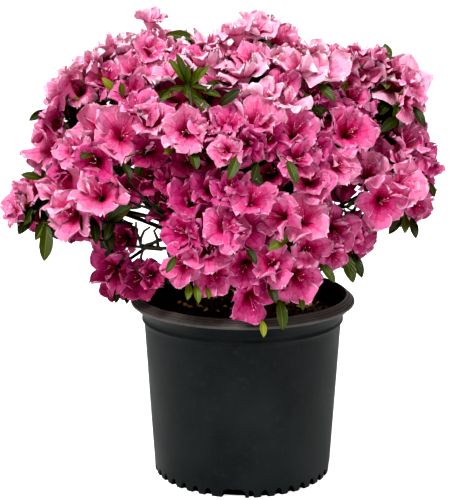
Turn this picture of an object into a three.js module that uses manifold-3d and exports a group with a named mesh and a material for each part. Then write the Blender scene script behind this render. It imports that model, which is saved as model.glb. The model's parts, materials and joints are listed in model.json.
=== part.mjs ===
// A potted azalea in full bloom: a nursery pot filled with potting mix, a short main stem, one tapering
// bough for each spray, and sprays of twigs that carry large ruffled flowers with leaves under them.
// Millimetres, +Z up. The origin is the middle of the pot's flat underside, and the show side faces -Y.
import * as THREE from "three";
import { mergeVertices } from "three/addons/utils/BufferGeometryUtils.js";
import Module from "manifold-3d";

const wasm = await Module();
wasm.setup();

// Driving dimensions

const GAP = 0.35; // clearance between solids that meet
const FACETS = 40; // flats round the pot and the potting mix, one for each flute in the foot

const POT = {
  height: 230,
  wall: 2.2,
  floor: 3,
  footRadius: 111.5,
  stepHeight: 196, // a small shoulder in the wall, under the rim
  stepRadius: 123.4,
  shoulder: 2,
  rimFoot: 206, // where the rim's cone leaves the wall
  rimRadius: 140, // widest ring of the rim
  rimEdge: 221, // its height
  mouthRadius: 129.5, // inner edge of the rim
  lip: 2, // how far the rim's edges are rounded
};
const FLUTES = { width: 7, height: 8, depth: 3.2, sides: 6 };
const PORTS = { count: 4, width: 28, height: 12, depth: 18, chamfer: 3, bearing: -6 };
const MIX = { fill: 203, mound: 7, roughness: 2.6, rings: 3, seed: 31 };

const STEM = {
  foot: [4, -2],
  height: 52,
  lean: [-8, -4], // how far its tip stands off its foot
  flare: 17, // radius at the mix
  flareShare: 0.25, // the lowest part of the stem, over which it flares
  radius: 10.5,
  tip: 8.5,
  sides: 8,
  steps: 5,
};
const BOUGH = {
  tip: 1.9, // radii
  perSpray: 2.5, // at its base, for each root of the number of sprays that it carries
  slimmer: 0.8, // the most that it may be of its parent's radius
  sides: 5,
  steps: 4,
  along: 0.7, // how much it leaves along its parent, against straight for its spray
  straight: 1.6, // how much it arrives straight, against outward from the crown's heart
  leave: 0.34, // handles of its curve as shares of its span
  arrive: 0.27,
  short: 0.62, // it ends this share of the spread before its spray's middle
};
const TWIG = {
  base: 1.9, // radii
  tip: 1.5,
  sides: 3,
  rings: 3,
  arch: 0.45, // how far it follows the bloom's facing before it turns to the fork
  stalk: 0.36, // from the bough's tip to the fork, as a share of the spread
  node: 4.4, // radius of the swelling at the fork
  crowd: 17.6, // how near the fork twigs may meet
};
const DOME = {
  angle: 88, // half of the dome that a spray's blooms stand on, in degrees
  first: 0.55, // where on the spiral the first bloom stands
  height: 0.75, // as shares of the spread
  girth: 1.05,
  splay: 0.8, // how far blooms face sideways and forwards
  lift: 0.35,
  wobble: 0.12,
  twist: 0.25,
};
const SPACING = { distance: 64, rounds: 80, push: 0.3, pull: 0.02 }; // how blooms share out the crown
const LEAF = {
  length: 52,
  width: 19,
  thickness: 1.8,
  widest: 0.56, // share of its length
  cup: 0.14, // rise of its edges as a share of its width
  perBloom: 2,
  root: 0.36, // depth of its root in the bloom, as a share of the bloom's radius
  tilt: 36, // degrees behind the bloom's face
  stray: 14, // how far its tip may lie over the edge of its spray's own space
};

const BLOOM = { radius: 36, petals: 5, throat: 0.2, calyx: 0.5 }; // depths as shares of the radius
const PETAL_EDGE = [
  { turn: 0, reach: 0.72, lift: -0.1 }, // the notch between two petals
  { turn: 15, reach: 1, lift: 0.2 }, // a petal's two corners, in degrees from the notch before it
  { turn: 57, reach: 1.03, lift: 0.06 },
];
const SPIRE = { spray: "peak", point: [-106, -6, 549], facing: [-0.8, -0.5, 0.35] }; // the topmost bloom

const HEART = [-20, 10, 330]; // the point that the crown grows out from
// Where a bloom has no room it is tried further out or further in, in millimetres, and then smaller.
const SHIFTS = [0, 12, -12, 22];
const SIZES = [1, 0.88, 0.76];

const GOLDEN_ANGLE = Math.PI * (3 - Math.sqrt(5));
const STEEP = 0.95; // where a direction counts as straight up
const SPRAY_SEED = 1000;
const SEED_STEP = 77;

// Each spray: its name, its bearing from the front in degrees (positive to the right), its reach from the
// pot's axis, height and spread in millimetres, its number of blooms, and the limb that its bough leaves
// with the share of the way along it.
const SPRAYS = [
  ["heart", 8, 142, 428, 56, 6, "stem", 0.97],
  ["left_front", -60, 188, 406, 56, 5, "stem", 0.9],
  ["right_front", 42, 148, 412, 54, 5, "stem", 0.86],
  ["back_mid", 180, 200, 420, 62, 5, "stem", 0.93],
  ["back_left", -128, 205, 420, 60, 5, "stem", 0.8],
  ["back_right", 130, 190, 425, 60, 5, "stem", 0.75],
  ["crest", 30, 20, 520, 60, 5, "stem", 0.995],
  ["left_low", -84, 246, 366, 38, 4, "stem", 0.62],
  ["right_low", 53, 130, 328, 44, 4, "stem", 0.58],
  ["front_low", 8, 166, 300, 28, 3, "stem", 0.5],
  ["back_low_left", -150, 185, 320, 54, 4, "stem", 0.5],
  ["back_low_right", 154, 186, 324, 54, 4, "stem", 0.45],
  ["peak", -90, 118, 508, 52, 5, "crest", 0.3],
  ["right_shoulder", 92, 134, 476, 56, 5, "crest", 0.42],
  ["back_top", 165, 120, 500, 60, 5, "back_mid", 0.4],
  ["back_top_left", -135, 155, 490, 56, 4, "back_left", 0.4],
  ["left_shoulder", -88, 204, 462, 50, 5, "peak", 0.3],
  ["left_mid", -96, 220, 412, 46, 4, "left_front", 0.35],
  ["right_high", 88, 190, 464, 44, 4, "right_front", 0.35],
  ["right_far", 97, 200, 400, 44, 4, "back_right", 0.35],
  ["right_mid", 70, 172, 385, 44, 4, "right_front", 0.5],
  ["upper_front_left", -50, 140, 470, 54, 5, "left_front", 0.5],
  ["upper_front_mid", -8, 105, 492, 50, 4, "heart", 0.35],
  ["upper_front_right", 40, 120, 482, 52, 5, "heart", 0.5],
  ["front_left_low", -22, 148, 332, 56, 6, "left_front", 0.2],
  ["front_right_low", 22, 152, 338, 50, 5, "right_low", 0.35],
  ["low_left", -73, 168, 270, 30, 3, "left_low", 0.4],
  ["back_left_low", -112, 190, 325, 50, 4, "back_low_left", 0.4],
].map(([name, bearing, reach, height, spread, blooms, parent, share]) => ({
  name,
  bearing,
  reach,
  height,
  spread,
  blooms,
  parent,
  share,
}));

const FINISH = {
  pot: { color: "#24272a", roughness: 0.5 },
  mix: { color: "#2a1b12", roughness: 1 },
  bark: { color: "#4a3a2b", roughness: 0.9 },
  spray: { color: "#e2529c", roughness: 0.6 },
};

// Helpers

const vector = ([x, y, z]) => new THREE.Vector3(x, y, z);
const radians = THREE.MathUtils.degToRad;
const UP = new THREE.Vector3(0, 0, 1);

/** Seeded draws between 0 and 1, the same on every run. */
function seededDraws(seed) {
  let state = seed;
  const next = () => (state = (state * 16807) % 2147483647) / 2147483647;
  return { next, around: (spread) => (next() * 2 - 1) * spread };
}

/** A closed geometry as a solid that can be joined and cut. Faces that have shrunk to a line are dropped. */
function solidOf(geometry) {
  const bare = geometry.clone();
  bare.deleteAttribute("normal");
  bare.deleteAttribute("uv");
  const merged = mergeVertices(bare, 1e-4);
  const corners = merged.index.array;
  const faces = [];
  for (let i = 0; i < corners.length; i += 3) {
    const [a, b, c] = corners.subarray(i, i + 3);
    if (a !== b && b !== c && c !== a) faces.push(a, b, c);
  }
  return new wasm.Manifold(
    new wasm.Mesh({
      numProp: 3,
      vertProperties: new Float32Array(merged.getAttribute("position").array),
      triVerts: new Uint32Array(faces),
    }),
  );
}

/** The largest closed body of a solid, with slivers and any sealed hollow gone. */
function mainBody(solid) {
  const bodies = solid.simplify(0.02).decompose();
  return bodies.reduce((best, body) => (body.volume() > best.volume() ? body : best));
}

/** A solid's faces as a geometry. */
function geometryOf(solid) {
  const { numProp, numVert, vertProperties, triVerts } = solid.getMesh();
  const corners = new Float32Array(numVert * 3);
  for (let i = 0; i < numVert; i++) {
    corners.set(vertProperties.subarray(i * numProp, i * numProp + 3), i * 3);
  }
  const geometry = new THREE.BufferGeometry();
  geometry.setAttribute("position", new THREE.BufferAttribute(corners, 3));
  geometry.setIndex(new THREE.BufferAttribute(triVerts, 1));
  return geometry;
}

/** True if no part of a solid only touches another along an edge: each edge has two faces when rounded. */
function isSound(solid) {
  const corners = mergeVertices(geometryOf(solid), 2e-3).index.array;
  const uses = new Map();
  for (let i = 0; i < corners.length; i += 3) {
    for (const k of [0, 1, 2]) {
      const edge = [corners[i + k], corners[i + ((k + 1) % 3)]].sort((a, b) => a - b).join();
      uses.set(edge, (uses.get(edge) ?? 0) + 1);
    }
  }
  return [...uses.values()].every((count) => count === 2);
}

/** A named mesh of a solid, in the plant's own frame. */
function meshOf(name, solid, finish) {
  const geometry = geometryOf(solid);
  geometry.computeVertexNormals();
  const mesh = new THREE.Mesh(geometry, new THREE.MeshStandardMaterial({ ...finish, metalness: 0 }));
  mesh.name = name;
  return mesh;
}

/** Moves each corner of a geometry by a rule. */
function reshape(geometry, rule) {
  const at = geometry.getAttribute("position");
  const corner = new THREE.Vector3();
  for (let i = 0; i < at.count; i++) {
    corner.fromBufferAttribute(at, i);
    const moved = rule(corner);
    at.setXYZ(i, moved.x, moved.y, moved.z);
  }
  return geometry;
}

/** A turned solid round Z from [radius, height] pairs that start and end on the axis. */
function turned(profile) {
  const points = profile.map(([radius, height]) => new THREE.Vector2(radius, height));
  return new THREE.LatheGeometry(points, FACETS).rotateX(Math.PI / 2);
}

/** Turns and moves a geometry so that its +Z lies along a direction and its origin at a point. */
function placed(geometry, direction, point, roll = 0) {
  const turn = new THREE.Quaternion().setFromUnitVectors(UP, direction);
  return geometry.rotateZ(roll).applyQuaternion(turn).translate(point.x, point.y, point.z);
}

/** A closed limb along a curve, a cylinder bent to it, with a radius for each share of the way. */
function limbSolid({ curve, radiusAt, sides, steps }, margin = 0) {
  const frames = curve.computeFrenetFrames(steps, false);
  const bent = reshape(new THREE.CylinderGeometry(1, 1, 1, sides, steps), ({ x, y, z }) => {
    const step = Math.round((y + 0.5) * steps);
    const radius = radiusAt(step / steps) + margin;
    const past = step === 0 ? -margin : step === steps ? margin : 0;
    return curve
      .getPointAt(step / steps)
      .addScaledVector(frames.tangents[step], past)
      .addScaledVector(frames.normals[step], x * radius)
      .addScaledVector(frames.binormals[step], -z * radius);
  });
  return solidOf(bent);
}

const taper = (base, tip) => (share) => base + (tip - base) * share;

// Pot and potting mix

/** The pot's outside as one solid, with its tapering wall, the shoulder and the rim's cone. */
function potOutside() {
  const { height, footRadius, stepHeight, stepRadius, shoulder, rimFoot, rimRadius, rimEdge, lip } = POT;
  return solidOf(
    turned([
      [0, 0],
      [footRadius, 0],
      [stepRadius, stepHeight],
      [stepRadius + shoulder, stepHeight + shoulder],
      [stepRadius + shoulder, rimFoot],
      [rimRadius - lip, rimEdge - lip],
      [rimRadius, rimEdge],
      [POT.mouthRadius + lip, height],
      [0, height],
    ]),
  );
}

/** The pot's inside, drawn in by a margin, with its top a little over the mouth. */
function potInside(margin) {
  const { wall, floor, footRadius, stepHeight, stepRadius, rimFoot, mouthRadius, height } = POT;
  const over = 1;
  const flare = (mouthRadius - stepRadius + wall) / (height - rimFoot);
  return solidOf(
    turned([
      [0, floor + margin],
      [footRadius - wall - margin, floor + margin],
      [stepRadius - wall - margin, stepHeight],
      [stepRadius - wall - margin, rimFoot],
      [mouthRadius - margin + flare * over, height + over],
      [0, height + over],
    ]),
  );
}

/** The recesses in the foot, as solids grown by a margin: each is an arch with cut corners. */
function portRecesses(margin) {
  const { count, width, height, depth, chamfer, bearing } = PORTS;
  const half = width / 2 + margin;
  const top = height + margin;
  const arch = new THREE.Shape([
    new THREE.Vector2(-half, -1),
    new THREE.Vector2(half, -1),
    new THREE.Vector2(half, top - chamfer),
    new THREE.Vector2(half - chamfer, top),
    new THREE.Vector2(chamfer - half, top),
    new THREE.Vector2(-half, top - chamfer),
  ]);
  return Array.from({ length: count }, (_, i) => {
    const reach = POT.footRadius - depth - margin;
    const block = new THREE.ExtrudeGeometry(arch, { depth: 2 * depth, bevelEnabled: false });
    block.rotateX(Math.PI / 2).translate(0, -reach, 0);
    return solidOf(block.rotateZ(radians(bearing + (360 / count) * i)));
  });
}

/** The small half-round flutes that scallop the pot's foot. */
function footFlutes() {
  const { width, height, depth, sides } = FLUTES;
  return Array.from({ length: FACETS }, (_, i) => {
    const flute = new THREE.CylinderGeometry(width / 2, width / 2, 2 * depth, sides);
    flute.scale(1, 1, height / (width / 2)).translate(0, -POT.footRadius, 0);
    return solidOf(flute.rotateZ(radians((360 / FACETS) * (i + 0.5))));
  });
}

/** The pot: outside less inside, recesses and flutes, with a wall left behind each recess. */
function makePot() {
  const inside = potInside(0).subtract(wasm.Manifold.union(portRecesses(POT.wall)));
  const hollows = wasm.Manifold.union([inside, ...portRecesses(0), ...footFlutes()]);
  return mainBody(potOutside().subtract(hollows));
}

/** The potting mix: it fills the pot under a low, uneven mound that is flat where the stem stands. */
function makeMix() {
  const { fill, mound, roughness, rings, seed } = MIX;
  const draws = seededDraws(seed);
  const rough = Array.from({ length: FACETS * rings }, () => draws.around(roughness));
  const edge = POT.rimRadius;
  const top = Array.from({ length: rings + 1 }, (_, i) => [edge * (1 - i / rings), fill]);
  const bed = reshape(turned([[0, 0], [edge, 0], ...top]), (corner) => {
    if (corner.z < fill - 1) return corner;
    const radius = Math.hypot(corner.x, corner.y);
    const ring = Math.round((1 - radius / edge) * rings);
    const facet = Math.round((Math.atan2(corner.y, corner.x) / (2 * Math.PI) + 1) * FACETS) % FACETS;
    const hummock = mound * (1 - (radius / edge) ** 2) + rough[ring * FACETS + facet];
    const seat = ring >= rings - 1;
    corner.z = fill + (seat ? mound : hummock);
    return corner;
  });
  const inside = potInside(GAP).subtract(wasm.Manifold.union(portRecesses(POT.wall + GAP)));
  return mainBody(inside.intersect(solidOf(bed)));
}

// Stem and boughs

/** The short main stem: it flares at the mix and leans a little to its fork. */
function stemLimb() {
  const foot = new THREE.Vector3(...STEM.foot, MIX.fill + MIX.mound + GAP);
  const tip = foot.clone().add(vector([...STEM.lean, STEM.height]));
  const above = new THREE.Vector3(foot.x, foot.y, foot.z + STEM.height / 2);
  const curve = new THREE.QuadraticBezierCurve3(foot, above, tip);
  const flareAt = (share) => (STEM.flare - STEM.radius) * Math.max(0, 1 - share / STEM.flareShare) ** 2;
  const radiusAt = (share) => taper(STEM.radius, STEM.tip)(share) + flareAt(share);
  return { curve, radiusAt, sides: STEM.sides, steps: STEM.steps };
}

/** Where a spray's middle lies, and which way it faces from the crown's heart. */
function sprayFrame(spray) {
  const { reach, height } = spray;
  const angle = radians(spray.bearing);
  const centre = new THREE.Vector3(reach * Math.sin(angle), -reach * Math.cos(angle), height);
  return { centre, outward: centre.clone().sub(vector(HEART)).normalize() };
}

/** How many sprays a limb carries: its own and those of the boughs that leave it. */
function sprayCount(name) {
  const offshoots = SPRAYS.filter((spray) => spray.parent === name);
  return offshoots.reduce((sum, spray) => sum + sprayCount(spray.name), 1);
}

/** One tapering bough: from the middle of its parent it rises, then bends out to where its spray begins. */
function boughLimb(spray, parent) {
  const { centre, outward } = sprayFrame(spray);
  const start = parent.curve.getPointAt(spray.share);
  const span = centre.distanceTo(start);
  const aim = centre.clone().sub(start).normalize();
  const leave = parent.curve.getTangentAt(spray.share).multiplyScalar(BOUGH.along).add(aim).normalize();
  const arrive = outward.clone().addScaledVector(aim, BOUGH.straight).normalize();
  const end = centre.clone().addScaledVector(arrive, -BOUGH.short * spray.spread);
  const curve = new THREE.CubicBezierCurve3(
    start,
    start.clone().addScaledVector(leave, BOUGH.leave * span),
    end.clone().addScaledVector(arrive, -BOUGH.arrive * span),
    end,
  );
  const widest = BOUGH.slimmer * parent.radiusAt(spray.share);
  const base = Math.min(BOUGH.perSpray * Math.sqrt(sprayCount(spray.name)), widest);
  return { curve, radiusAt: taper(base, BOUGH.tip), sides: BOUGH.sides, steps: BOUGH.steps };
}

// Sprays

/** A point in a bloom's own frame, in shares of its radius, moved to where the bloom stands. */
function bloomPoint({ point, facing, roll }, radius, x, y, z) {
  const local = new THREE.Vector3(x, y, z).applyAxisAngle(UP, roll).multiplyScalar(radius);
  return local.applyQuaternion(new THREE.Quaternion().setFromUnitVectors(UP, facing)).add(point);
}

/**
 * One bloom on its twig, as a sphere's rings reshaped: the top pole is the throat, the first ring the edge
 * of five broad petals, and the rings below draw in to a three-sided twig that runs to the fork.
 */
function bloomOnTwig(fork, site, size) {
  const { throat, calyx, petals } = BLOOM;
  const radius = BLOOM.radius * size;
  const points = PETAL_EDGE.length * petals;
  const back = bloomPoint(site, radius, 0, 0, -calyx);
  const bend = back.clone().addScaledVector(site.facing, -TWIG.arch * back.distanceTo(fork));
  const twig = new THREE.QuadraticBezierCurve3(back, bend, fork);
  const rows = TWIG.rings + 2;
  return solidOf(
    reshape(new THREE.SphereGeometry(1, points, rows).rotateX(Math.PI / 2), ({ x, y, z }) => {
      const row = Math.round((Math.acos(THREE.MathUtils.clamp(z, -1, 1)) / Math.PI) * rows);
      const index = Math.round((Math.atan2(y, x) / (2 * Math.PI) + 1) * points);
      if (row === 0) return bloomPoint(site, radius, 0, 0, -throat);
      if (row === 1) {
        const { turn, reach, lift } = PETAL_EDGE[index % PETAL_EDGE.length];
        const angle = (Math.floor(index / PETAL_EDGE.length) * 2 * Math.PI) / petals + radians(turn);
        return bloomPoint(site, radius, reach * Math.cos(angle), reach * Math.sin(angle), lift);
      }
      const share = Math.min((row - 2) / (TWIG.rings - 1), 1);
      const thickness = row === rows ? 0 : taper(TWIG.tip, TWIG.base)(share);
      const side = (Math.round((index * TWIG.sides) / points) * 2 * Math.PI) / TWIG.sides;
      const outward = twig.getTangentAt(share).negate();
      const turn = new THREE.Quaternion().setFromUnitVectors(UP, outward);
      const ring = new THREE.Vector3(Math.cos(side), Math.sin(side), 0).multiplyScalar(thickness);
      return ring.applyAxisAngle(UP, site.roll).applyQuaternion(turn).add(twig.getPointAt(share));
    }),
  );
}

/** A leaf of eight faces that grows along +Z from its root, widest past its middle and cupped. */
function leafGeometry() {
  const { length, width, thickness, widest, cup } = LEAF;
  return reshape(new THREE.OctahedronGeometry(1), ({ x, y, z }) => {
    const along = Math.abs(z) > 0.5 ? (z + 1) / 2 : widest;
    const lift = Math.abs(x) * width * cup;
    return new THREE.Vector3((x * width) / 2, (y * thickness) / 2 + lift, along * length);
  });
}

/** The first places and facings of a spray's blooms: a golden-angle spiral over a flattened dome. */
function bloomSites(spray, draws) {
  const { spread, blooms } = spray;
  const { centre, outward } = sprayFrame(spray);
  const upright = Math.abs(outward.z) > STEEP;
  const across = upright ? new THREE.Vector3(1, 0, 0) : UP.clone().cross(outward).normalize();
  const over = outward.clone().cross(across);
  const phase = draws.next() * 2 * Math.PI;
  return Array.from({ length: blooms }, (_, k) => {
    const polar = radians(DOME.angle) * Math.sqrt((k + DOME.first) / blooms) + draws.around(DOME.wobble);
    const turn = k * GOLDEN_ANGLE + phase + draws.around(DOME.twist);
    const rise = Math.cos(polar);
    const side = across.clone().multiplyScalar(Math.cos(turn)).addScaledVector(over, Math.sin(turn));
    side.multiplyScalar(Math.sin(polar));
    const point = centre
      .clone()
      .addScaledVector(outward, rise * spread * DOME.height)
      .addScaledVector(side, spread * DOME.girth);
    const facing = side.multiplyScalar(DOME.splay).addScaledVector(outward, rise + DOME.lift);
    return { spray, point, facing: facing.normalize(), roll: draws.next() * 2 * Math.PI };
  });
}

/** Every bloom's site, after crowded ones have pushed each other apart over the crown's own surface. */
function shareOutSites() {
  const heart = vector(HEART);
  const sites = SPRAYS.flatMap((spray, i) => bloomSites(spray, seededDraws(SPRAY_SEED + SEED_STEP * i)));
  const homes = sites.map((site) => site.point.clone());
  for (let round = 0; round < SPACING.rounds; round++) {
    sites.forEach((site, i) => {
      for (const other of sites.slice(i + 1)) {
        const apart = other.point.clone().sub(site.point);
        const lack = SPACING.distance - apart.length();
        if (lack <= 0) continue;
        apart.setLength(lack * SPACING.push);
        other.point.add(apart);
        site.point.sub(apart);
      }
    });
    sites.forEach((site, i) => {
      site.point.lerp(homes[i], SPACING.pull).sub(heart);
      site.point.setLength(homes[i].distanceTo(heart)).add(heart);
    });
  }
  const spray = SPRAYS.find(({ name }) => name === SPIRE.spray);
  const facing = vector(SPIRE.facing).normalize();
  return [{ spray, point: vector(SPIRE.point), facing, roll: 0 }, ...sites];
}

/** True if a point is nearer to this spray's middle than to any other's, measured in spreads. */
function inOwnSpace(point, spray, margin) {
  const distance = (other) => sprayFrame(other).centre.distanceTo(point) - other.spread;
  const own = distance(spray) - margin;
  return SPRAYS.every((other) => other === spray || distance(other) > own);
}

/** True if a solid keeps clear of every solid in a list. */
function isClear(solid, others) {
  const box = solid.boundingBox();
  const nearly = 0.9 * GAP;
  return others.every((other) => {
    const { min, max } = other.boundingBox();
    const apart = [0, 1, 2].some((k) => min[k] > box.max[k] + GAP || max[k] < box.min[k] - GAP);
    return apart || solid.minGap(other, GAP) >= nearly;
  });
}

/** The whorl of leaves under a bloom: rooted in its calyx, they stand out past its petals. */
function leafSolids(spray, site, others) {
  const root = site.point.clone().addScaledVector(site.facing, -BLOOM.radius * site.size * LEAF.root);
  const side = new THREE.Vector3(site.facing.y, -site.facing.x, 0.01).normalize();
  const tilt = radians(LEAF.tilt);
  return Array.from({ length: LEAF.perBloom }, (_, k) => {
    const turn = site.roll + (k * 2 * Math.PI) / LEAF.perBloom;
    const out = side.clone().applyAxisAngle(site.facing, turn).multiplyScalar(Math.cos(tilt));
    const direction = out.addScaledVector(site.facing, -Math.sin(tilt));
    const tip = root.clone().addScaledVector(direction, LEAF.length);
    const leaf = solidOf(placed(leafGeometry(), direction, root, turn));
    return inOwnSpace(tip, spray, LEAF.stray) && isClear(leaf, others) ? leaf : null;
  }).filter(Boolean);
}

/** A spray's stem: it goes on from its bough's tip to a node, the fork of its twigs. */
function sprayStem(spray, bough) {
  const along = bough.curve.getTangentAt(1);
  const start = bough.curve.getPointAt(1).addScaledVector(along, GAP);
  const fork = start.clone().addScaledVector(along, TWIG.stalk * spray.spread);
  const curve = new THREE.LineCurve3(start, fork);
  const stalk = limbSolid({ curve, radiusAt: () => BOUGH.tip, sides: TWIG.sides, steps: 1 });
  const [node, crowd] = [TWIG.node, TWIG.crowd].map((radius) =>
    solidOf(placed(new THREE.OctahedronGeometry(radius), along, fork)),
  );
  return { fork, solid: stalk.add(node), crowd };
}

/** The bloom of a site with the room that it keeps from other twigs, or nothing where none fits. */
function openBloom(site, stem, others, blooms) {
  for (const size of SIZES) {
    for (const shift of SHIFTS) {
      const point = site.point.clone().addScaledVector(site.facing, shift);
      const solid = bloomOnTwig(stem.fork, { ...site, point }, size);
      const room = solid.subtract(stem.crowd);
      const rooms = blooms.map((bloom) => bloom.room);
      if (isClear(solid, others) && isClear(room, rooms)) return { ...site, point, size, solid, room };
    }
  }
  return null;
}

/** One spray: its stem, with the blooms and leaves that keep clear of each other and of other solids. */
function growSpray(spray, sites, stem, others) {
  const blooms = [];
  for (const site of sites) {
    const bloom = openBloom(site, stem, others, blooms);
    if (bloom) blooms.push(bloom);
  }
  const leaves = blooms.flatMap((bloom) => {
    const rooms = blooms.filter((other) => other !== bloom).map((other) => other.room);
    return leafSolids(spray, bloom, [...others, ...rooms]);
  });
  const bare = mainBody(wasm.Manifold.union([stem.solid, ...blooms.map((bloom) => bloom.solid)]));
  return leaves.reduce((grown, leaf) => {
    const fuller = mainBody(grown.add(leaf));
    return isSound(fuller) ? fuller : grown;
  }, bare);
}

// Assembly

const pot = makePot();
const mix = makeMix();
const limbs = new Map([["stem", stemLimb()]]);
for (const spray of SPRAYS) limbs.set(spray.name, boughLimb(spray, limbs.get(spray.parent)));

const azalea = new THREE.Group();
azalea.name = "potted_azalea";
azalea.add(meshOf("pot", pot, FINISH.pot));
azalea.add(meshOf("potting_mix", mix, FINISH.mix));

// Each limb is cut clear of those before it.
const standing = [pot, mix];
const clearances = [];
for (const [name, limb] of limbs) {
  const solid = mainBody(clearances.reduce((rest, clearance) => rest.subtract(clearance), limbSolid(limb)));
  clearances.push(limbSolid(limb, GAP / Math.cos(Math.PI / limb.sides)));
  standing.push(solid);
  azalea.add(meshOf(name === "stem" ? "main_stem" : `bough_${name}`, solid, FINISH.bark));
}

const sites = shareOutSites();
const stems = new Map(SPRAYS.map((spray) => [spray, sprayStem(spray, limbs.get(spray.name))]));
for (const spray of SPRAYS) {
  const own = sites.filter((site) => site.spray === spray);
  const otherStems = SPRAYS.filter((other) => other !== spray).map((other) => stems.get(other).solid);
  const solid = growSpray(spray, own, stems.get(spray), [...standing, ...otherStems]);
  standing.push(solid);
  azalea.add(meshOf(`spray_${spray.name}`, solid, FINISH.spray));
}

export default azalea;
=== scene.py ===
"""A potted azalea in full bloom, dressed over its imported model.

Sizes are in millimetres until a mesh is made, and the scene is in metres, +Z up. The origin is the middle of
the pot's flat underside, and the show side faces -Y. The crown grows by the part's own rule: each bough ends
in a spray, and the spray's twigs carry trusses of flowers with whorls of leaves under them.
"""

import json
import logging
import math
from collections.abc import Callable, Sequence
from dataclasses import dataclass, replace
from enum import Enum

import bpy
import numpy as np
from bpy.types import Material, NodeTree
from bpy.types import NodeSocket as Socket
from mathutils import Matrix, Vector, noise
from numpy import ndarray as Array

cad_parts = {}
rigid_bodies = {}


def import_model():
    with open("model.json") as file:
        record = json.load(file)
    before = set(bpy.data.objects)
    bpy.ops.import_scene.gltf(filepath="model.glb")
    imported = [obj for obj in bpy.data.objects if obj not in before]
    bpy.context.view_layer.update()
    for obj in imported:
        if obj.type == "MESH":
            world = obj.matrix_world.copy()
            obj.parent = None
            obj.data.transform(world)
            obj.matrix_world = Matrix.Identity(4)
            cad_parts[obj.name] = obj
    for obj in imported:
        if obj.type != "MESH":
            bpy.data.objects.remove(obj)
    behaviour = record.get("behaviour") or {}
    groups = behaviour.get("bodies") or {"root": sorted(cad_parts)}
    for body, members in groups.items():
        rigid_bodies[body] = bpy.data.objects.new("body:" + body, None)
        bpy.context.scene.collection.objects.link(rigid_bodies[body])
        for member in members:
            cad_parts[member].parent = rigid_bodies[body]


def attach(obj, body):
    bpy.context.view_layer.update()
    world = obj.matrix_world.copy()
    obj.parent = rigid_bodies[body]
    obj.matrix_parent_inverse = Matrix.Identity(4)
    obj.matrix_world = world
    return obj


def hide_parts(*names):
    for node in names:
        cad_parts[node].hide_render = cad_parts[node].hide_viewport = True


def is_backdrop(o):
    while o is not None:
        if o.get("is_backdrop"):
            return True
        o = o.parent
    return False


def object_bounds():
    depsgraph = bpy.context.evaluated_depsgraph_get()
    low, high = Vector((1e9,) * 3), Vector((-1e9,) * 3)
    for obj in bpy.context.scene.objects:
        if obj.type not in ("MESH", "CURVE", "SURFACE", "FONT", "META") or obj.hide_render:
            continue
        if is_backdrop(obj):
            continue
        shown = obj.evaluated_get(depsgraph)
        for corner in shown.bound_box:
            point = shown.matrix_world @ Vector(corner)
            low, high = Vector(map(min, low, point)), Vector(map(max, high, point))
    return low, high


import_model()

logging.basicConfig(level=logging.INFO, format="%(message)s")
log = logging.getLogger("azalea")

Pair = tuple[float, float]
Triple = tuple[float, float, float]
Row = tuple[float, ...]

MM = 0.001
UP = np.array([0.0, 0.0, 1.0])
GOLDEN_ANGLE = math.pi * (3 - math.sqrt(5))
HEART = np.array([-20.0, 10.0, 330.0])  # the point that the crown grows out from
TRIANGLE = -1  # fills the last corner of a face that has three
TIP_SHARE = 0.6  # how far a limb's tip stands out, in shares of its radius


class Tint(Enum):
    """How pale or deep a flower is, top to foot of the crown: partly its own colour, partly painted light and shade.
    """

    BLUSH = 0
    SHELL = 1
    ROSE = 2
    CERISE = 3
    WINE = 4


class Zone(Enum):
    """The parts of a petal that differ in colour."""

    # The throat and heart are lightened, partly as painted light against the shade in the tube.
    THROAT = 0
    HEART = 1
    FLUSH = 2
    VEIL = 3
    BLADE = 4
    OUTER = 5
    # The margin is partly the petal's own pale rim, partly a painted highlight.
    MARGIN = 6


class Trim(Enum):
    """The small parts of a flower, whose finishes follow the petals'."""

    FRECKLE = 0
    FILAMENT = 1
    ANTHER = 2
    SEPAL = 3

    @property
    def zone(self) -> int:
        """Its place among a flower's finishes, after those of all petals."""
        return len(Tint) * len(Zone) + self.value


class Tone(Enum):
    """The greens of the leaves."""

    DEEP = 0
    MID = 1
    FRESH = 2
    YOUNG = 3


class Region(Enum):
    """The parts of the crown that are joined into pieces of their own."""

    FRONT = "front"
    LEFT = "left"
    RIGHT = "right"
    BACK = "back"
    TOP = "top"
    TOP_BACK = "top_back"


def linear(code: str) -> tuple[float, float, float, float]:
    """A colour given as six hexadecimal digits, as the linear red, green, blue and alpha of a shader.

    Args:
        code: The colour as a display shows it, such as "e2529c".

    Returns:
        Its linear values with a full alpha.
    """
    shown = [int(code[i : i + 2], 16) / 255 for i in (0, 2, 4)]
    red, green, blue = (v / 12.92 if v <= 0.04045 else ((v + 0.055) / 1.055) ** 2.4 for v in shown)
    return (red, green, blue, 1.0)


def unit(v: Array) -> Array:
    """The direction of a vector."""
    return v / max(float(np.linalg.norm(v)), 1e-9)


def bearings(count: int) -> Array:
    """Evenly spaced angles in the full circle, in radians."""
    return np.arange(count) * 2 * math.pi / count


def stacked(*parts: Array) -> Array:
    """Coordinates that each run by row, by column or by both, as one array of points."""
    return np.stack(np.broadcast_arrays(*parts), axis=-1)


def sideways(turn: Array, angle: float) -> Array:
    """The direction at an angle in the plane of a turn's first two axes."""
    return turn[:, 0] * math.cos(angle) + turn[:, 1] * math.sin(angle)


def bell(v: Array, height: float, width: float) -> Array:
    """A smooth bump across the middle of a blade."""
    return height * np.exp(-((v / width) ** 2))


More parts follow.
